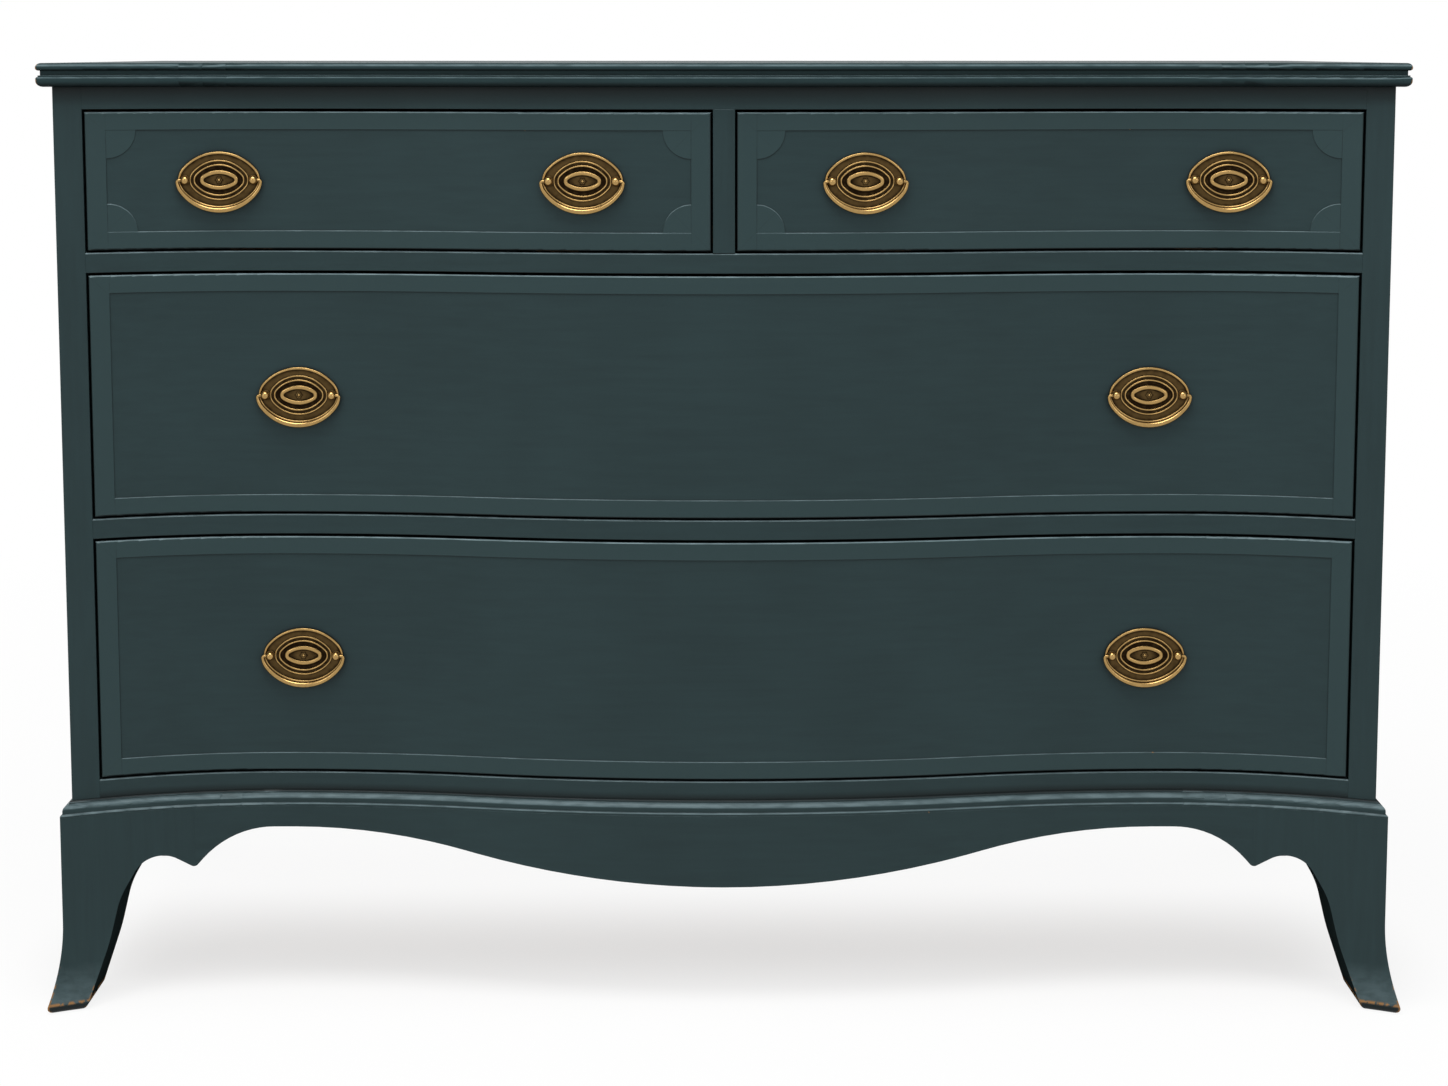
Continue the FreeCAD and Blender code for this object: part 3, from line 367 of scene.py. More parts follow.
# Each paint sets the strength and reach of its painted highlights, and its painted shadow band.
paint_top = paint("paint_top", "across", highlight_amount=0.55, highlight_limit=0.66, specular=0.06)
paint_rail = paint("paint_rail", "across", edge_round=1.1 * mm, highlight_amount=1.0)
paint_top_rail = paint("paint_top_rail", "across", shade_band=shade_under_top)
paint_bottom_rail = paint("paint_bottom_rail", "across", edge_round=1.1 * mm, highlight_amount=1.0,
                          shade_band=shade_over_moulding)
paint_upright = paint("paint_upright", "upright", shade_band=shade_under_top)
paint_deep = paint("paint_deep", "deep")
paint_base = paint("paint_base", "upright", edge_round=0.4 * mm, wear_reach=3.2 * mm)
paint_apron = paint("paint_apron", "across", edge_round=0.35 * mm)
paint_moulding = paint("paint_moulding", "across", highlight_limit=1.5, shade_band=shade_under_case)
# Painted shade: the feet's inner faces get a near-black paint without gloss.
paint_shaded_inside = paint("paint_shaded_inside", "upright", edge_round=0.4 * mm, colour=inside_shade_colour, specular=0.0)
print("mixed the case paints")

# %% [markdown]
# ## Drawer fronts
# Each front has a raised border round a slightly sunk field. The border is a touch lighter, since
# hands polish it, and the paint shows hairlines where its strips meet: upright in line with the
# field's ends, and across the corners. The lines are placed from the drawer's own box, so every
# front gets its own paint.

# %% Paint the drawer fronts
band_beside = 18.5 * mm
band_above = 17.0 * mm
band_colour = (0.0255, 0.0485, 0.0515, 1.0)
seam_colour = linear(30, 41, 43)
fan_radius = 26.5 * mm
field_soft = 0.2 * mm
seam_width = 0.5 * mm
mitre_width = 0.6 * mm
front_rim_shade = (0.6 * mm, 1.3 * mm)  # painted shade on a front's ends and foot fades between these depths


def depth_inside(tree, value, low, high):
    """How far a value lies inside the nearer of two limits."""
    return math_node(tree, "MINIMUM", minus(tree, value, low), minus(tree, high, value))


def outside_fans(tree, x, z, ends, edges):
    """0 in the quarter rounds that fill a field's corners, and 1 elsewhere."""
    squares = []
    for value, limits in ((x, ends), (z, edges)):
        squares.append(math_node(tree, "POWER", depth_inside(tree, value, *limits), 2.0))
    distance = math_node(tree, "SQRT", math_node(tree, "ADD", *squares))
    return ramp(tree, distance, fan_radius - 0.3 * mm, fan_radius + 0.3 * mm)


def front_details(drawer):
    """Lays the border's tone, its seams and a painted shade line along its ends and foot over the paint
    of one front.
    """
    low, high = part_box(drawer + "_front")
    ends = (low.x + band_beside, high.x - band_beside)
    edges = (low.z + band_above, high.z - band_above)

    def lay(tree, body):
        x, _, z = place_axes(tree)
        inside = times(tree, between(tree, x, *ends, field_soft), between(tree, z, *edges, field_soft))
        if drawer.startswith("upper"):
            inside = times(tree, inside, outside_fans(tree, x, z, ends, edges))
        border = minus(tree, 1.0, inside)
        body = mix_colour(tree, times(tree, border, 0.85), body, band_colour)
        seams = most(tree, *(line_at(tree, x, end, seam_width) for end in ends))
        from_side = depth_inside(tree, x, low.x, high.x)
        from_edge = depth_inside(tree, z, low.z, high.z)
        mitre = line_at(tree, minus(tree, from_side, from_edge), 0.0, mitre_width)
        seams = most(tree, seams, times(tree, mitre, 0.6))
        broken = ramp(tree, object_noise(tree, 130.0, detail=2.0), 0.4, 0.6, 0.25, 1.0)
        body = mix_colour(tree, times(tree, seams, border, broken, 0.5), body, seam_colour)
        # painted shade along the front's ends and foot, where the gaps round the front fall dark
        from_rim = math_node(tree, "MINIMUM", from_side, minus(tree, z, low.z))
        return mix_colour(tree, ramp(tree, from_rim, *front_rim_shade, 0.9, 0.0), body, painted_shade_colour)
    return lay


front_paints = {}
for drawer in drawers:
    # The fronts get strong painted highlights on the edges and steps that face up.
    front_paints[drawer] = paint("paint_" + drawer, "across", edge_round=1.0 * mm, highlight_amount=1.0,
                                 highlight_limit=1.5, details=front_details(drawer),
                                 flat_top=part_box(drawer + "_front")[1].z)
print("front paints", len(front_paints))

# %% [markdown]
# ## Bare wood
# Inside, nothing is painted. The drawer boards and the frames are plain oak with long grain. Noise
# squeezed along one axis gives the grain, so a board only needs to be told which way it runs. The
# back is tongued boards, so it also gets dark joints at even steps.

# %% Cut the bare wood
across_grain = 24.0
along_grain = 1.1
pore_stretch = 5
joint_colour = linear(42, 28, 16)
joint_edge = (0.6 * mm, 1.4 * mm)


def bare_wood(name, along, light, dark, board_width=0.0):
    """Unpainted board with its grain along one axis, and joints at even steps if wanted."""
    material, tree, shader = new_material(name)
    stretch = [across_grain] * 3
    stretch[along] = along_grain
    waves = object_noise(tree, 0.5, stretch, detail=2.0)
    grain = object_noise(tree, 1.6, stretch, detail=9.0, roughness=0.7)
    pores = object_noise(tree, 7.0, [scale * pore_stretch for scale in stretch], detail=3.0)
    figure = math_node(tree, "MULTIPLY_ADD", waves, 0.5, times(tree, grain, 0.5))
    colour = mix_colour(tree, ramp(tree, figure, *tone_span), dark, light)
    colour = mix_colour(tree, ramp(tree, pores, 0.58, 0.72, 0.0, 0.4), colour, dark)
    height = pores
    if board_width:
        step = math_node(tree, "PINGPONG", place_axes(tree)[0], board_width / 2)
        joint = ramp(tree, step, *joint_edge, 1.0, 0.0)
        colour = mix_colour(tree, joint, colour, joint_colour)
        height = minus(tree, pores, times(tree, joint, 3.0))
    shader.inputs["Specular IOR Level"].default_value = 0.3
    finish_with(tree, shader, colour, ramp(tree, grain, 0.3, 0.7, 0.55, 0.72), height, 0.3, 0.3 * mm)
    return material


oak = (linear(176, 136, 92), linear(126, 88, 54))
wood_across = bare_wood("wood_across", 0, *oak)
wood_deep = bare_wood("wood_deep", 1, *oak)
wood_upright = bare_wood("wood_upright", 2, *oak)
wood_back = bare_wood("wood_back", 2, linear(150, 116, 80), linear(104, 76, 50), board_width=0.154)
print("cut the bare woods")

# %% [markdown]
# ## Brass
# The pulls are old brass: bright where hands and cloths rub the raised parts, brown in the low
# ones. Each brass mesh carries a "shine" value on its points, 1 on what stands proud and 0 in the
# hollows, and the finish blends polish and patina by it.

# %% Age the brass
brass_polished = linear(172, 140, 88)
brass_dull = linear(80, 63, 37)
brass_tarnished = linear(27, 18, 9)


def brass(name):
    """Aged brass that follows the mesh's own shine attribute."""
    material, tree, shader = new_material(name)
    shine = add(tree, "ShaderNodeAttribute", attribute_name="shine")
    cloud = object_noise(tree, 220.0, detail=5.0, roughness=0.6)
    uneven = math_node(tree, "MULTIPLY_ADD", cloud, 0.4, -0.2)
    amount = math_node(tree, "ADD", shine.outputs["Fac"], uneven, clamp=True)
    low = mix_colour(tree, ramp(tree, amount, 0.02, 0.3), brass_tarnished, brass_dull)
    colour = mix_colour(tree, ramp(tree, amount, 0.35, 0.9), low, brass_polished)
    # Tight corners darken towards the tarnish colour: tarnish that gathers in the plate's hollows, and
    # painted shade where the bail, posts and plate sit close to each other and to the paint.
    corner = add(tree, "ShaderNodeAmbientOcclusion", {"Distance": 2.5 * mm}, samples=6)
    darkening = ramp(tree, corner.outputs["AO"], 0.35, 0.9, 0.7, 0.0)
    colour = mix_colour(tree, darkening, colour, brass_tarnished)
    shader.inputs["Metallic"].default_value = 1.0
    finish_with(tree, shader, colour, ramp(tree, amount, 0.1, 0.9, 0.48, 0.19),
                object_noise(tree, 600.0, detail=4.0), 0.15, 0.12 * mm)
    return material


aged_brass = brass("aged_brass")
print("made", aged_brass.name)

# %% [markdown]
# ## Boards
# The imported boards are loose triangles. A copy with its points joined can be shaded smooth along
# the curves and crisp at the corners, which is what a planed and moulded board looks like. The
# copy replaces the node on the same body. The top needs more care: the small beads on its edge
# have few facets, so they stay smooth over wider angles, while its level faces keep their own
# direction right up to the beads. Nobody paints what doesn't show, so the backs of the fronts and
# aprons and the inner faces of the sides stay bare. The feet's inner faces get a near-black paint
# without gloss, painted shade where they look in under the case.

# %% Smooth the boards
join_gap = 0.004 * mm
crisp_angle = math.radians(28)
bead_crisp_angle = math.radians(58)
strength_name = "__mod_weightednormals_faceweight"  # where the shading modifier looks for it
strong_face = 16384  # the value of a face that sets the direction at its corners
level_face = 0.9999  # how far up or down a level face points


def joined(mesh, gap=join_gap):
    """A mesh opened for editing, with the points that touch made one."""
    shape = bmesh.new()
    shape.from_mesh(mesh)
    bmesh.ops.remove_doubles(shape, verts=shape.verts, dist=gap)
    return shape


def dress(piece, body, replaced):
    """Rides a piece on its body in the place of a CAD node."""
    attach(piece, body)
    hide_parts(replaced)


def board(node, material, slot, inside=None, looks_in=None):
    """A smooth-shaded copy of a CAD board; the faces that looks_in picks get the inside finish."""
    source = nodes[node]
    beaded = node == "top_board"
    limit = bead_crisp_angle if beaded else crisp_angle
    shape = joined(source.data)
    for face in shape.faces:
        face.smooth = True
        face.material_index = 0
    for edge in shape.edges:
        two = len(edge.link_faces) == 2
        edge.smooth = not (two and edge.calc_face_angle(0.0) > limit)
    mesh = bpy.data.meshes.new(node + "_board")
    shape.to_mesh(mesh)
    shape.free()
    mesh.materials.append(material)
    if inside:
        mesh.materials.append(inside)
        for face in mesh.polygons:
            face.material_index = int(looks_in(face.normal, face.center))
    piece = put_in_scene(node + "_board", mesh)
    even = piece.modifiers.new("even_shading", "WEIGHTED_NORMAL")
    even.keep_sharp = True
    if beaded:
        even.mode = "CORNER_ANGLE"
        even.use_face_influence = True
        strength = mesh.attributes.new(strength_name, "INT", "FACE")
        for face, item in zip(mesh.polygons, strength.data):
            item.value = strong_face if abs(face.normal.z) > level_face else 0
    else:
        even.weight = 100
    dress(piece, source["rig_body"], node)


painted = {
    "top_board": paint_top, "left_side_panel": paint_upright, "right_side_panel": paint_upright,
    "front_stiles": paint_upright, "centre_stile": paint_upright, "top_rail": paint_top_rail,
    "upper_drawer_rail": paint_rail, "lower_drawer_rail": paint_rail, "bottom_rail": paint_bottom_rail,
    "base_moulding": paint_moulding, "front_apron": paint_apron, "side_aprons": paint_deep,
    "front_left_foot": paint_base, "front_right_foot": paint_base, "rear_left_foot": paint_base,
    "rear_right_foot": paint_base,
}
for drawer in drawers:
    painted[drawer + "_front"] = front_paints[drawer]


def faces_back(normal, middle):
    """True where a face looks to the back, wherever its middle is."""
    return normal.y > 0.3


def faces_middle(normal, middle):
    """True where a face looks sideways to the middle of the case."""
    return normal.x * math.copysign(1, middle.x) < -0.35 and normal.y > -0.3


insides = {"front_apron": (wood_across, faces_back), "side_aprons": (wood_deep, faces_middle)}
for side in hands:
    insides[side + "_side_panel"] = (wood_upright, faces_middle)
    # the feet's inner faces take the near-black paint, as painted shade
    insides["front_" + side + "_foot"] = (paint_shaded_inside, faces_middle)
    insides["rear_" + side + "_foot"] = (paint_shaded_inside, faces_middle)
for drawer in drawers:
    insides[drawer + "_front"] = (wood_across, faces_back)
for node, finish in painted.items():
    board(node, finish, "paint", *insides.get(node, (None, None)))
print("painted boards", len(painted))

# %% Finish the bare boards
inner_woods = {
    "back_panel": wood_back, "runner_frames": wood_deep, "dust_panels": wood_across,
    "centre_guides": wood_deep, "base_rear_rail": wood_across, "corner_blocks": wood_upright,
    "drawer_stops": wood_across,
}
for drawer in drawers:
    inner_woods[drawer + "_sides"] = wood_deep
    inner_woods[drawer + "_back"] = wood_across
    inner_woods[drawer + "_bottom"] = wood_across
    inner_woods[drawer + "_runner"] = wood_deep
for node, wood in inner_woods.items():
    board(node, wood, "bare_wood")
print("bare boards", len(inner_woods))

# %% [markdown]
# ## Where the pulls sit
# Every bail turns on a hinge, and the frame knows each hinge's place and direction. From those a
# pull gets its own small frame: X along the plate, Y into the drawer and Z up, with its origin on
# the plate's back. All brass is drawn there in millimetres and carried to the drawer front.

# %% Find the pulls
bail_axis_out = 4.7  # the bail's axis stands this far ahead of the plate's back
up = Vector((0, 0, 1))
pull_frames = {}
for joint in frame["joints"]:
    if joint["name"].endswith("bail_hinge"):
        across = -Vector(joint["axis"]).normalized()
        inward = up.cross(across)
        place = Vector(joint["pos_m"]) + inward * bail_axis_out * mm
        turn = Matrix((across, inward, up)).transposed().to_4x4()
        pull_frames[joint["child"]] = Matrix.Translation(place) @ turn @ Matrix.Scale(mm, 4)
print("pulls", len(pull_frames))

# %% [markdown]
# ## Ovals
# The plates, their rings and the bails are all ovals, drawn the way a metalworker sets them out:
# two small arcs at the ends and two large ones above and below. Such an oval can be moved inwards
# exactly, by taking the same distance off every radius, so one function draws every ring.

# %% Draw a four-centred oval
def oval_point(oval, inset, turn):
    """Point where the oval's outward direction has this angle, moved inwards by the inset."""
    half_long, half_short, end = oval
    reach = half_long - end
    side = math.copysign(1, math.cos(turn))
    lift = math.copysign(1, math.sin(turn))
    angle = math.atan2(abs(math.sin(turn)), abs(math.cos(turn)))
    if half_short - end < 0.001:
        return side * (end - inset) * math.cos(angle), lift * (end - inset) * math.sin(angle)
    flat = (reach ** 2 + half_short ** 2 - end ** 2) / (2 * (half_short - end))
    rise = flat - half_short
    if angle <= math.atan2(rise, reach):
        return side * (reach + (end - inset) * math.cos(angle)), lift * (end - inset) * math.sin(angle)
    return side * (flat - inset) * math.cos(angle), lift * ((flat - inset) * math.sin(angle) - rise)


# half the length, half the height and the radius of the ends, in millimetres
plate_oval = (38.5, 27.0, 17.5)
outer_ring = (26.95, 18.36, 10.85)
inner_ring = (23.1, 14.31, 7.35)
eye_ring = (16.0, 7.4, 3.9)
boss = (2.6, 2.6, 2.6)
print("oval tip", oval_point(plate_oval, 0, 0))

# %% [markdown]
# ## Back plates
# A plate like this is stamped from sheet brass: a rounded rim, a dished ground, two fine rings, a
# deep channel and a bold ring round a lens with a small boss. It is a surface of rings, so it is
# built as one: a table lists each ring's oval, inset, height and shine from the rim inwards, and
# each ring of points is joined to the next. The same table carries the polish for the finish.

# %% List the plate's rings
def even_angles(start, end, steps):
    """Angles in radians at even steps between two in degrees."""
    return [math.radians(start + (end - start) * step / steps) for step in range(steps + 1)]


def bead(oval, wire, middle, start, end, steps, low_shine, high_shine, lift=1.0):
    """Rings over a bead on an oval, from an outer angle to an inner one, in degrees."""
    rings = []
    for angle in even_angles(start, end, steps):
        shine = low_shine + (high_shine - low_shine) * max(0, math.sin(angle)) ** 1.8
        rings.append((oval, -wire * math.cos(angle), middle + wire * lift * math.sin(angle), shine))
    return rings


rim_wire = 1.35  # the rim's bead lies inside the plate's outline
rim = [(oval, inset + rim_wire, height, shine) for oval, inset, height, shine
       in bead(plate_oval, rim_wire, 0.85, -39, 186, 15, 0.1, 1.0)]
plate_rings = [
    (plate_oval, 0.3, 0.0, 0.0), *rim,
    (plate_oval, 3.2, 0.62, 0.12), (plate_oval, 4.6, 0.58, 0.26), (plate_oval, 6.4, 0.7, 0.3),
    (outer_ring, -1.6, 0.78, 0.26), *bead(outer_ring, 0.8, 1.0, -18, 200, 11, 0.12, 0.95),
    (outer_ring, 1.5, 0.66, 0.1),
    (inner_ring, -1.4, 0.66, 0.1), *bead(inner_ring, 0.85, 1.0, -20, 205, 11, 0.08, 1.0),
    (inner_ring, 1.5, 0.38, 0.0), (inner_ring, 2.6, 0.3, 0.06),
    (eye_ring, -2.7, 0.3, 0.0), *bead(eye_ring, 2.1, 0.75, -12, 192, 15, 0.08, 1.0, lift=0.72),
    (eye_ring, 2.5, 0.45, 0.05),
    (boss, -1.9, 0.72, 0.34), (boss, -0.6, 0.62, 0.12), (boss, -0.1, 0.6, 0.0), (boss, 0.1, 1.0, 0.35),
    (boss, 0.6, 1.15, 0.5), (boss, 1.1, 0.95, 0.1), (boss, 1.35, 0.9, 0.0), (boss, 1.45, 1.3, 0.7),
    (boss, 1.9, 1.65, 0.95),
]
print("rings in a plate", len(plate_rings))


# %% Stamp the plates
plate_sides = 104
plate_crisp = 42  # degrees
petals = 6  # round the boss
petal_depth = 0.14
crown_height = 1.75


def stamp_plate(shape, shine_layer, carry):
    """Adds one plate to a mesh in the making."""
    turns = [2 * math.pi * (number + 0.5) / plate_sides for number in range(plate_sides)]
    rows = []
    for oval, inset, height, shine in plate_rings:
        row = []
        for turn in turns:
            x, z = oval_point(oval, inset, turn)
            if oval is boss:
                petal = 1 + petal_depth * math.cos(petals * turn)
                x, z = x * petal, z * petal
            point = shape.verts.new(carry @ Vector((x, -height, z)))
            point[shine_layer] = shine
            row.append(point)
        rows.append(row)
    crown = shape.verts.new(carry @ Vector((0, -crown_height, 0)))
    crown[shine_layer] = 1.0
    for number in range(plate_sides):
        after = (number + 1) % plate_sides
        for outer, inner in zip(rows, rows[1:]):
            shape.faces.new((outer[number], outer[after], inner[after], inner[number]))
        shape.faces.new((rows[-1][number], rows[-1][after], crown))
    shape.faces.new(list(reversed(rows[0])))


def turn_out(shape, mesh, angle):
    """Turns faces outwards, marks edges sharp that bend by more than an angle, and fills the mesh."""
    bmesh.ops.recalc_face_normals(shape, faces=shape.faces)
    for edge in shape.edges:
        edge.smooth = len(edge.link_faces) == 2 and edge.calc_face_angle(0.0) < math.radians(angle)
    shape.to_mesh(mesh)
    shape.free()


def place_piece(name, mesh, material, body, replaced):
    """An object for a finished mesh, riding on its body in the place of a CAD node."""
    mesh.materials.clear()
    mesh.materials.append(material)
    dress(put_in_scene(name, mesh), body, replaced)


for drawer in drawers:
    shape = bmesh.new()
    shine_layer = shape.verts.layers.float.new("shine")
    for side in hands:
        stamp_plate(shape, shine_layer, pull_frames[f"{drawer}_{side}_bail"])
    for face in shape.faces:
        face.smooth = len(face.verts) < 5
    mesh = bpy.data.meshes.new(drawer + "_plates")
    turn_out(shape, mesh, plate_crisp)
    place_piece(drawer + "_plates", mesh, aged_brass, drawer, drawer + "_pull_plates")
print("plates have", len(mesh.polygons), "faces a drawer")

# %% [markdown]
# ## Trees for Geometry Nodes
# Posts, nuts, screws and bails repeat or follow a line, so small trees of nodes make them. These
# helpers start a tree with named inputs, set them on an object and turn the result into a plain
# mesh.

# %% Helpers for trees
def gather(tree, *pieces):
    """Several geometries made one."""
    together = add(tree, "GeometryNodeJoinGeometry")
    for piece in pieces:
        join(tree, piece, together.inputs[0])
    return together.outputs[0]


def stored(tree, name, kind="FLOAT_VECTOR"):
    """What the points carry under a name."""
    return add(tree, "GeometryNodeInputNamedAttribute", {"Name": name}, data_type=kind).outputs[0]


def mark(tree, geometry, name, value):
    """Stores a number under a name on every point."""
    values = {"Name": name, "Value": value}
    store = follow(tree, geometry, "GeometryNodeStoreNamedAttribute", values,
                   data_type="FLOAT", domain="POINT")
    return store.outputs[0]


def start_tree(name, sizes):
    """A tree with named size inputs: the tree, its input node and its output node."""
    tree = bpy.data.node_groups.new(name, "GeometryNodeTree")
    tree.interface.new_socket("Geometry", in_out="INPUT", socket_type="NodeSocketGeometry")
    for label, value in sizes.items():
        kind = "NodeSocketInt" if isinstance(value, int) else "NodeSocketFloat"
        tree.interface.new_socket(label, in_out="INPUT", socket_type=kind).default_value = value
    tree.interface.new_socket("Finish", in_out="INPUT", socket_type="NodeSocketMaterial")
    tree.interface.new_socket("Geometry", in_out="OUTPUT", socket_type="NodeSocketGeometry")
    return tree, tree.nodes.new("NodeGroupInput"), tree.nodes.new("NodeGroupOutput")


def end_tree(tree, start, end, geometry):
    """Realize Instances, smooth shading and the finish, and out."""
    real = follow(tree, geometry, "GeometryNodeRealizeInstances")
    smooth = follow(tree, real.outputs[0], "GeometryNodeSetShadeSmooth")
    finish = follow(tree, smooth.outputs[0], "GeometryNodeSetMaterial")
    join(tree, start.outputs["Finish"], finish.inputs["Material"])
    join(tree, finish.outputs[0], end.inputs[0])


def grow(name, seed_mesh, tree, sizes, material, crisp):
    """Runs a tree on a small mesh and gives a plain mesh, sharp where it bends more than crisp."""
    seed = put_in_scene(name + "_seed", seed_mesh)
    modifier = seed.modifiers.new("made", "NODES")
    modifier.node_group = tree
    for item in tree.interface.items_tree:
        if item.in_out == "INPUT" and item.name in sizes:
            modifier[item.identifier] = sizes[item.name]
        if item.in_out == "INPUT" and item.name == "Finish":
            modifier[item.identifier] = material
    found = seed.evaluated_get(bpy.context.evaluated_depsgraph_get())
    mesh = bpy.data.meshes.new_from_object(found)
    mesh.name = name
    seed.modifiers.remove(modifier)
    bpy.data.objects.remove(seed)
    turn_out(joined(mesh, 0.002 * mm), mesh, crisp)
    return mesh


print("tree helpers ready")

# %% [markdown]
# ## Turned pieces
# A ball, a collar or a screw head comes off a lathe. The tree does what a lathe does in reverse: it
# starts with a disc, pushes it forward in steps and scales it at each, so a table of radii and
# heights is the profile.

# %% Turn a profile in a tree
weld = 0.0005  # in millimetres, as the profiles are


def turned(tree, profile, sides):
    """Geometry of a turned piece along Z from a table of (radius, height)."""
    first_radius, first_height = profile[0]
    disc = add(tree, "GeometryNodeMeshCircle", {"Radius": first_radius}, fill_type="NGON")
    join(tree, sides, disc.inputs["Vertices"])
    lift = follow(tree, disc.outputs[0], "GeometryNodeTransform", {"Translation": (0, 0, first_height)})
    base = follow(tree, lift.outputs[0], "GeometryNodeFlipFaces")
    forward = add(tree, "FunctionNodeInputVector", vector=(0, 0, 1))
    shape = lift.outputs[0]
    top = None
    for (radius, height), (next_radius, next_height) in zip(profile, profile[1:]):
        values = {"Offset Scale": next_height - height, "Individual": False}
        push = follow(tree, shape, "GeometryNodeExtrudeMesh", values, mode="FACES")
        join(tree, forward.outputs[0], push.inputs["Offset"])
        if top is not None:
            join(tree, top, push.inputs["Selection"])
        top = push.outputs["Top"]
        scale = follow(tree, push.outputs["Mesh"], "GeometryNodeScaleElements",
                       {"Scale": next_radius / radius}, domain="FACE")
        join(tree, top, scale.inputs["Selection"])
        shape = scale.outputs[0]
    both = gather(tree, shape, base.outputs[0])
    return follow(tree, both, "GeometryNodeMergeByDistance", {"Distance": weld}).outputs[0]


def arc_profile(radius, middle, start, end, steps):
    """Radii and heights along a round, between two angles in degrees from its equator."""
    return [(radius * math.cos(angle), middle + radius * math.sin(angle))
            for angle in even_angles(start, end, steps)]


def set_along(tree, points, piece, scale):
    """A piece set on every point, turned from Z to the point's own "ahead" direction."""
    align = add(tree, "FunctionNodeAlignRotationToVector", axis="Z")
    join(tree, stored(tree, "ahead"), align.inputs["Vector"])
    instance = follow(tree, points, "GeometryNodeInstanceOnPoints")
    join(tree, piece, instance.inputs["Instance"])
    join(tree, align.outputs[0], instance.inputs["Rotation"])
    join(tree, scale, instance.inputs["Scale"])
    return instance.outputs[0]


def point_mesh(name, places, directions):
    """Loose points with named directions on them."""
    mesh = bpy.data.meshes.new(name)
    mesh.from_pydata(places, [], [])
    for label, values in directions.items():
        layer = mesh.attributes.new(label, "FLOAT_VECTOR", "POINT")
        for item, value in zip(layer.data, values):
            item.vector = value
    return mesh


print("lathe ready")

# %% [markdown]
# ## Posts
# Each pull hangs on two posts. A post shows a collar on the plate and a ball that holds the
# bail's pin. Its shank goes through the drawer front to a nut in a round recess. Sixteen are
# alike, so one tree sets them all: profile tables in millimetres, scaled by a named input.

# %% Turn and set the posts
post_spacing = 63.5
post_crisp = 48  # degrees
ball_radius = 4.15
ball = arc_profile(ball_radius, bail_axis_out, -52, 88, 15) + [(0.05, bail_axis_out + ball_radius)]
collar = [(2.0, 0.1), (4.55, 0.25), (4.7, 0.7), (4.7, 1.9), (4.45, 2.2), (3.4, 2.3), (2.7, 2.0),
          (2.4, 1.75), (2.55, 1.9)]
nut = [(3.9, 0.0), (4.5, 0.35), (4.5, 2.85), (3.9, 3.2), (2.3, 3.2), (2.0, 3.1), (1.95, 4.9),
       (1.6, 5.2), (0.4, 5.25)]
post_sizes = {"Millimetre": mm, "Ball Sides": 32, "Nut Sides": 6}
tree, start, end = start_tree("posts_and_nuts", post_sizes)
points, size, sides = (start.outputs[name] for name in ("Geometry", "Millimetre", "Ball Sides"))
ball_mesh = mark(tree, turned(tree, ball, sides), "shine", 0.95)
collar_mesh = mark(tree, turned(tree, collar, sides), "shine", 0.3)
nut_mesh = mark(tree, turned(tree, nut, start.outputs["Nut Sides"]), "shine", 0.35)
posts = set_along(tree, points, gather(tree, ball_mesh, collar_mesh), size)
flip = follow(tree, nut_mesh, "GeometryNodeTransform", {"Rotation": (math.pi, 0, 0)})
move = follow(tree, points, "GeometryNodeSetPosition")
join(tree, stored(tree, "nut_place"), move.inputs["Position"])
nuts = set_along(tree, move.outputs[0], flip.outputs[0], size)
end_tree(tree, start, end, gather(tree, posts, nuts))

nut_seat = 19.2  # from the middle of the field to the nut
outer_pull = 0.3  # metres from the middle of the case
plate_leads = {"outer": 1.63, "inner": 0.05, "deep": 1.032}  # from plate to field
for drawer in drawers:
    places, nut_places, aheads = [], [], []
    for side in hands:
        carry = pull_frames[f"{drawer}_{side}_bail"]
        lead = "deep"
        if drawer.startswith("upper"):
            lead = "outer" if abs(carry.translation.x) > outer_pull else "inner"
        for x in (-post_spacing / 2, post_spacing / 2):
            places.append(carry @ Vector((x, 0, 0)))
            nut_places.append(carry @ Vector((x, plate_leads[lead] + nut_seat, 0)))
            aheads.append(-(carry.to_3x3() @ Vector((0, 1, 0))).normalized())
    seed = point_mesh(drawer + "_post_points", places, {"ahead": aheads, "nut_place": nut_places})
    mesh = grow(drawer + "_posts", seed, tree, post_sizes, aged_brass, post_crisp)
    place_piece(drawer + "_posts", mesh, aged_brass, drawer, drawer + "_pull_posts")
print("posts and nuts have", len(mesh.polygons), "faces a drawer")

# %% [markdown]
# ## Bails
# A bail is cast brass rod: a pin at each end turns inwards into a ball, and the rod swells from
# its arms to the middle of the grip. A line drawn round the lower half of an oval is the path, and
# the tree sweeps a section along it whose size comes from a value stored on each point.

# %% Bend the bails
bail_oval = (39.05, 28.45, 17.5)
bail_crisp = 60  # degrees
pin_end = 29.8
arm_gauge = 1.25
grip_gauge = 2.2
elbow = 1.9
bail_sizes = {"Flatness": 1.12, "Section Sides": 20}
tree, start, end = start_tree("bail", bail_sizes)
line = follow(tree, start.outputs["Geometry"], "GeometryNodeMeshToCurve")
section = add(tree, "GeometryNodeCurvePrimitiveCircle", {"Radius": 1.0})
join(tree, start.outputs["Section Sides"], section.inputs["Resolution"])
stretch = add(tree, "ShaderNodeCombineXYZ", {"X": 1.0, "Z": 1.0})
join(tree, start.outputs["Flatness"], stretch.inputs["Y"])
flatten = follow(tree, section.outputs[0], "GeometryNodeTransform")
join(tree, stretch.outputs[0], flatten.inputs["Scale"])
sweep = follow(tree, line.outputs[0], "GeometryNodeCurveToMesh", {"Fill Caps": True})
join(tree, stored(tree, "gauge", "FLOAT"), sweep.inputs["Scale"])
join(tree, flatten.outputs[0], sweep.inputs["Profile Curve"])
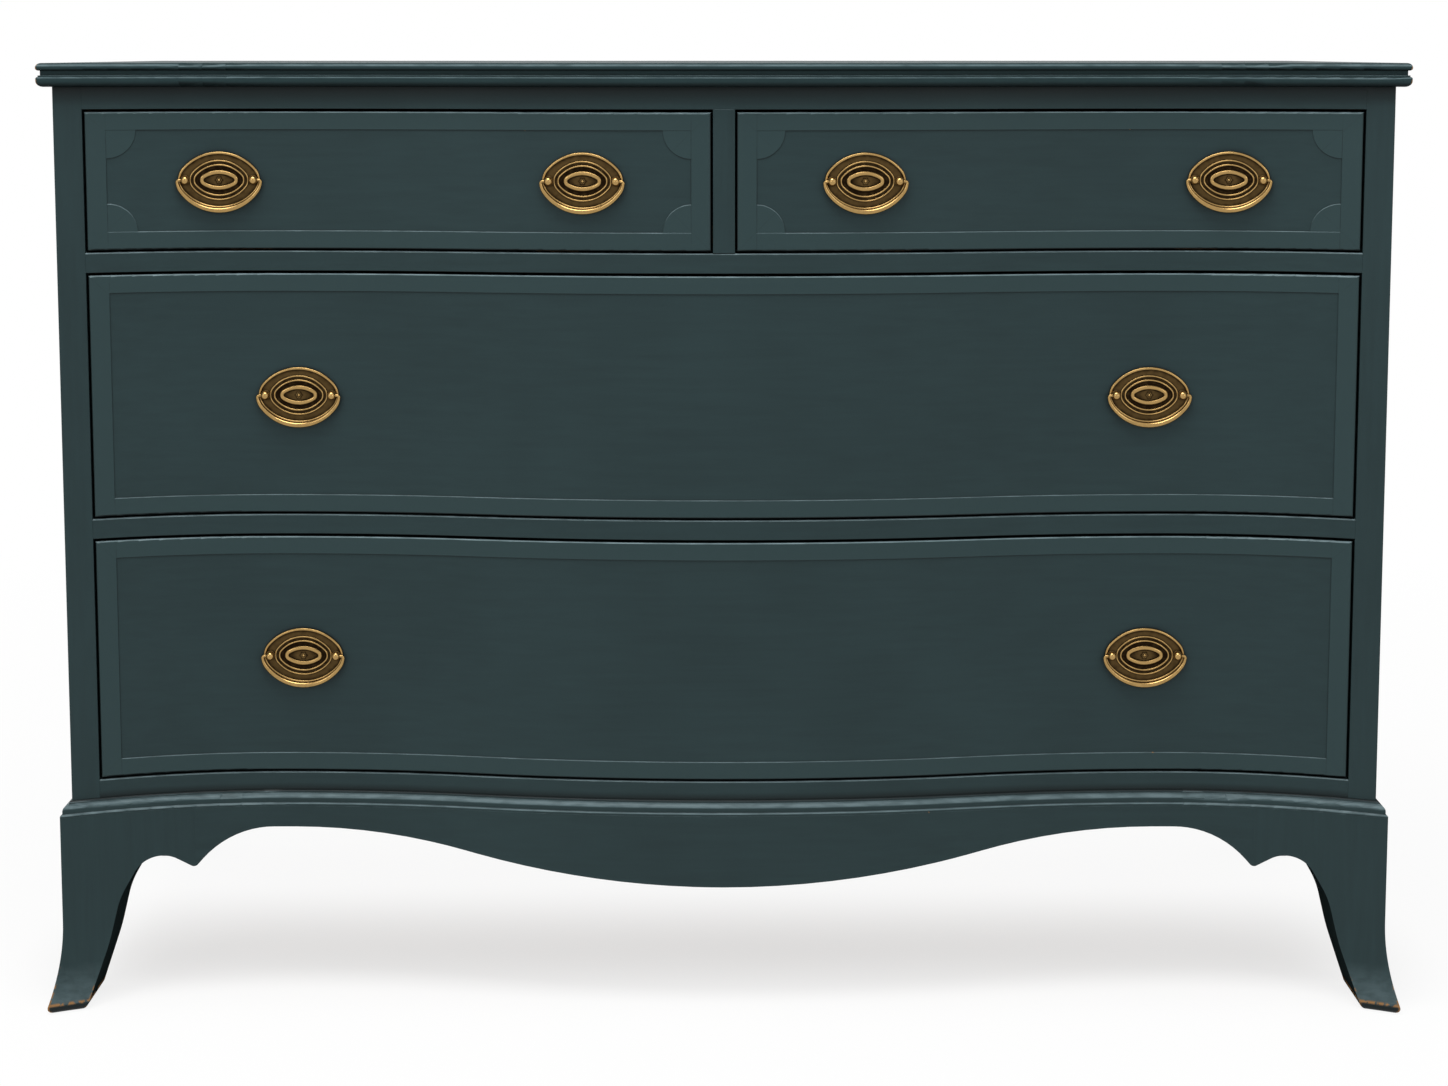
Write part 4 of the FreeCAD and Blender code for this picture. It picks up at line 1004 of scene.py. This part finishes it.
end_tree(tree, start, end, mark(tree, sweep.outputs[0], "shine", 0.86))


def bail_path(pin_steps=4, elbow_steps=8, arc_steps=34):
    """Points and gauges from one pin's end round to the other, in a pull's own frame."""
    half = []
    for step in range(pin_steps):
        x = -pin_end - (bail_oval[0] - elbow - pin_end) * step / pin_steps
        half.append((x, 0.0, arm_gauge))
    for step in range(elbow_steps + 1):
        angle = math.pi / 2 * step / elbow_steps
        x = -bail_oval[0] + elbow - elbow * math.sin(angle)
        half.append((x, -elbow + elbow * math.cos(angle), arm_gauge))
    for step in range(3, arc_steps + 1):
        turn = math.pi + math.pi / 2 * step / arc_steps
        x, z = oval_point(bail_oval, 0, turn)
        swell = math.sin(turn - math.pi) ** 1.3
        if z < -elbow - 0.3:
            half.append((x, z, arm_gauge + (grip_gauge - arm_gauge) * swell))
    return half + [(-x, z, gauge) for x, z, gauge in reversed(half[:-1])]


path = bail_path()
for name, carry in pull_frames.items():
    points = [carry @ Vector((x, -bail_axis_out, z)) for x, z, _ in path]
    seed = bpy.data.meshes.new(name + "_path")
    seed.from_pydata(points, [(number, number + 1) for number in range(len(points) - 1)], [])
    layer = seed.attributes.new("gauge", "FLOAT", "POINT")
    layer.data.foreach_set("value", [gauge * mm for _, _, gauge in path])
    mesh = grow(name + "_rod", seed, tree, bail_sizes, aged_brass, bail_crisp)
    place_piece(name + "_rod", mesh, aged_brass, name, name)
print("bails", len(pull_frames), "with", len(mesh.polygons), "faces each")

# %% [markdown]
# ## Screws
# Slotted wood screws hold the top and the corner blocks from below. Only their heads show. The
# tree turns a low dome, cuts its slot and sets it where each screw of the model stands.

# %% Find the screws
def islands(node):
    """Low and high corners of each loose piece of a CAD node."""
    shape = joined(nodes[node].data)
    left = set(shape.verts)
    found = []
    while left:
        group, waiting = [], [left.pop()]
        while waiting:
            point = waiting.pop()
            group.append(point.co)
            for edge in point.link_edges:
                other = edge.other_vert(point)
                if other in left:
                    left.discard(other)
                    waiting.append(other)
        found.append([Vector([pick(place[axis] for place in group) for axis in range(3)])
                      for pick in (min, max)])
    shape.free()
    return found


head_seat = 2.4 * mm  # from a screw's lowest point up to its head's underside
places = []
for low, high in islands("carcase_screws"):
    places.append(Vector(((low.x + high.x) / 2, (low.y + high.y) / 2, low.z + head_seat)))
print("screws", len(places))

# %% Set the screws
steel, tree, shader = new_material("bright_steel")
tone = object_noise(tree, 300.0, detail=4.0)
shader.inputs["Metallic"].default_value = 1.0
finish_with(tree, shader, mix_colour(tree, tone, linear(110, 108, 104), linear(176, 174, 170)),
            ramp(tree, tone, 0.3, 0.7, 0.25, 0.45), object_noise(tree, 1500.0), 0.15, 0.05 * mm)

head_profile = [(2.1, -20.0), (2.1, 0.0), (4.1, 0.0), (4.2, 0.3), (4.0, 1.0), (3.2, 1.7),
                (2.0, 2.15), (0.5, 2.35)]
screw_crisp = 40  # degrees
screw_sizes = {"Millimetre": mm, "Head Sides": 24}
tree, start, end = start_tree("slotted_screws", screw_sizes)
head = turned(tree, head_profile, start.outputs["Head Sides"])
slot_box = add(tree, "GeometryNodeMeshCube", {"Size": (12.0, 1.1, 2.4)})
raise_slot = follow(tree, slot_box.outputs[0], "GeometryNodeTransform", {"Translation": (0, 0, 2.5)})
cut = follow(tree, head, "GeometryNodeMeshBoolean", operation="DIFFERENCE", solver="EXACT")
join(tree, raise_slot.outputs[0], cut.inputs["Mesh 2"])
screws = set_along(tree, start.outputs["Geometry"], cut.outputs[0], start.outputs["Millimetre"])
end_tree(tree, start, end, screws)
seed = point_mesh("screw_points", places, {"ahead": [-up for _ in places]})
mesh = grow("screws", seed, tree, screw_sizes, steel, screw_crisp)
place_piece("slotted_screws", mesh, steel, "carcase", "carcase_screws")
print("screw heads have", len(mesh.polygons), "faces in all")

# %% [markdown]
# ## Studio
# A plain white room. The light comes from a big soft box overhead and two weak ones in front, and
# from a pale world. The camera, and the brass, should see clean white behind the dresser, so for
# those rays the world is white and the floor glows. The glow is weakest under the front of the
# case, where it leaves the soft shadow, and grows to full white a few steps away, which hides the
# horizon.

# %% Lay the floor
white = (1, 1, 1, 1)
floor_paint = linear(249, 249, 248)
half_floor = 15.0
glow_near = 0.93
glow_from = 0.9
glow_to = 2.6
shadow_depth = 0.26  # how much less the floor glows where the shadow is deepest
shadow_line = -0.11  # which runs below the front of the case
shadow_width = (0.74, 0.56)
shadow_reach = 0.26


def seen_rays(tree):
    """1 for rays that come straight from the camera or by way of metal or glass."""
    ray = add(tree, "ShaderNodeLightPath").outputs
    return most(tree, most(tree, ray["Is Camera Ray"], ray["Is Glossy Ray"]), ray["Is Transmission Ray"])


def choose_by(tree, factor, first, second, output):
    """Sends one of two shaders to an output, by a factor from 0 to 1."""
    blend = add(tree, "ShaderNodeMixShader")
    for number, source in enumerate((factor, first.outputs[0], second.outputs[0])):
        join(tree, source, blend.inputs[number])
    join(tree, blend.outputs["Shader"], tree.nodes[output].inputs["Surface"])


def floor_finish():
    """A pale floor that holds the shadow and glows towards white for the camera."""
    material, tree, shader = new_material("studio_floor")
    shader.inputs["Base Color"].default_value = floor_paint
    shader.inputs["Roughness"].default_value = 0.9
    shader.inputs["Specular IOR Level"].default_value = 0.0
    place = add(tree, "ShaderNodeTexCoord").outputs["Object"]
    away = follow(tree, place, "ShaderNodeVectorMath", operation="LENGTH")
    share = ramp(tree, away.outputs["Value"], glow_from, glow_to, glow_near, 1.0)
    x, y, _ = place_axes(tree)
    aside = math_node(tree, "ABSOLUTE", x)
    ahead = math_node(tree, "ABSOLUTE", minus(tree, y, shadow_line))
    deep = times(tree, ramp(tree, aside, *shadow_width, kind="SMOOTHSTEP"),
                 ramp(tree, ahead, shadow_reach, 0.0, kind="SMOOTHSTEP"), shadow_depth)
    glow = add(tree, "ShaderNodeEmission", {"Color": white, "Strength": 1.0})
    seen_glow = times(tree, minus(tree, share, deep), seen_rays(tree))
    choose_by(tree, seen_glow, shader, glow, "Material Output")
    return material


floor_mesh = bpy.data.meshes.new("floor")
corners = [(x * half_floor, y * half_floor, 0) for x, y in ((-1, -1), (1, -1), (1, 1), (-1, 1))]
floor_mesh.from_pydata(corners, [], [(0, 1, 2, 3)])
floor_mesh.materials.append(floor_finish())
floor = put_in_scene("floor", floor_mesh)
print("floor laid")


# %% Light the studio
def soft_light(name, place, aim, width, height, power):
    """A rectangular soft box that looks at a point."""
    data = bpy.data.lights.new(name, "AREA")
    data.shape = "RECTANGLE"
    data.size = width
    data.size_y = height
    data.energy = power
    light = put_in_scene(name, data)
    light.location = place
    direction = Vector(aim) - Vector(place)
    light.rotation_euler = direction.to_track_quat("-Z", "Y").to_euler()


soft_light("overhead", (-0.3, -1.0, 3.0), (0, -0.1, 0.4), 1.8, 1.2, 54)
soft_light("front_left", (-2.2, -3.2, 2.1), (0, 0, 0.5), 0.9, 1.1, 12)
soft_light("front_right", (2.4, -3.4, 1.9), (0, 0, 0.5), 0.9, 1.1, 10)

world = bpy.data.worlds.new("studio")
world.use_nodes = True
bpy.context.scene.world = world
sky = world.node_tree
room = sky.nodes["Background"]
room.inputs["Color"].default_value = white
room.inputs["Strength"].default_value = 0.55
clean = add(sky, "ShaderNodeBackground", {"Color": white, "Strength": 1.0})
choose_by(sky, seen_rays(sky), room, clean, "World Output")
bpy.context.scene.view_settings.view_transform = "Standard"
print("studio lit")
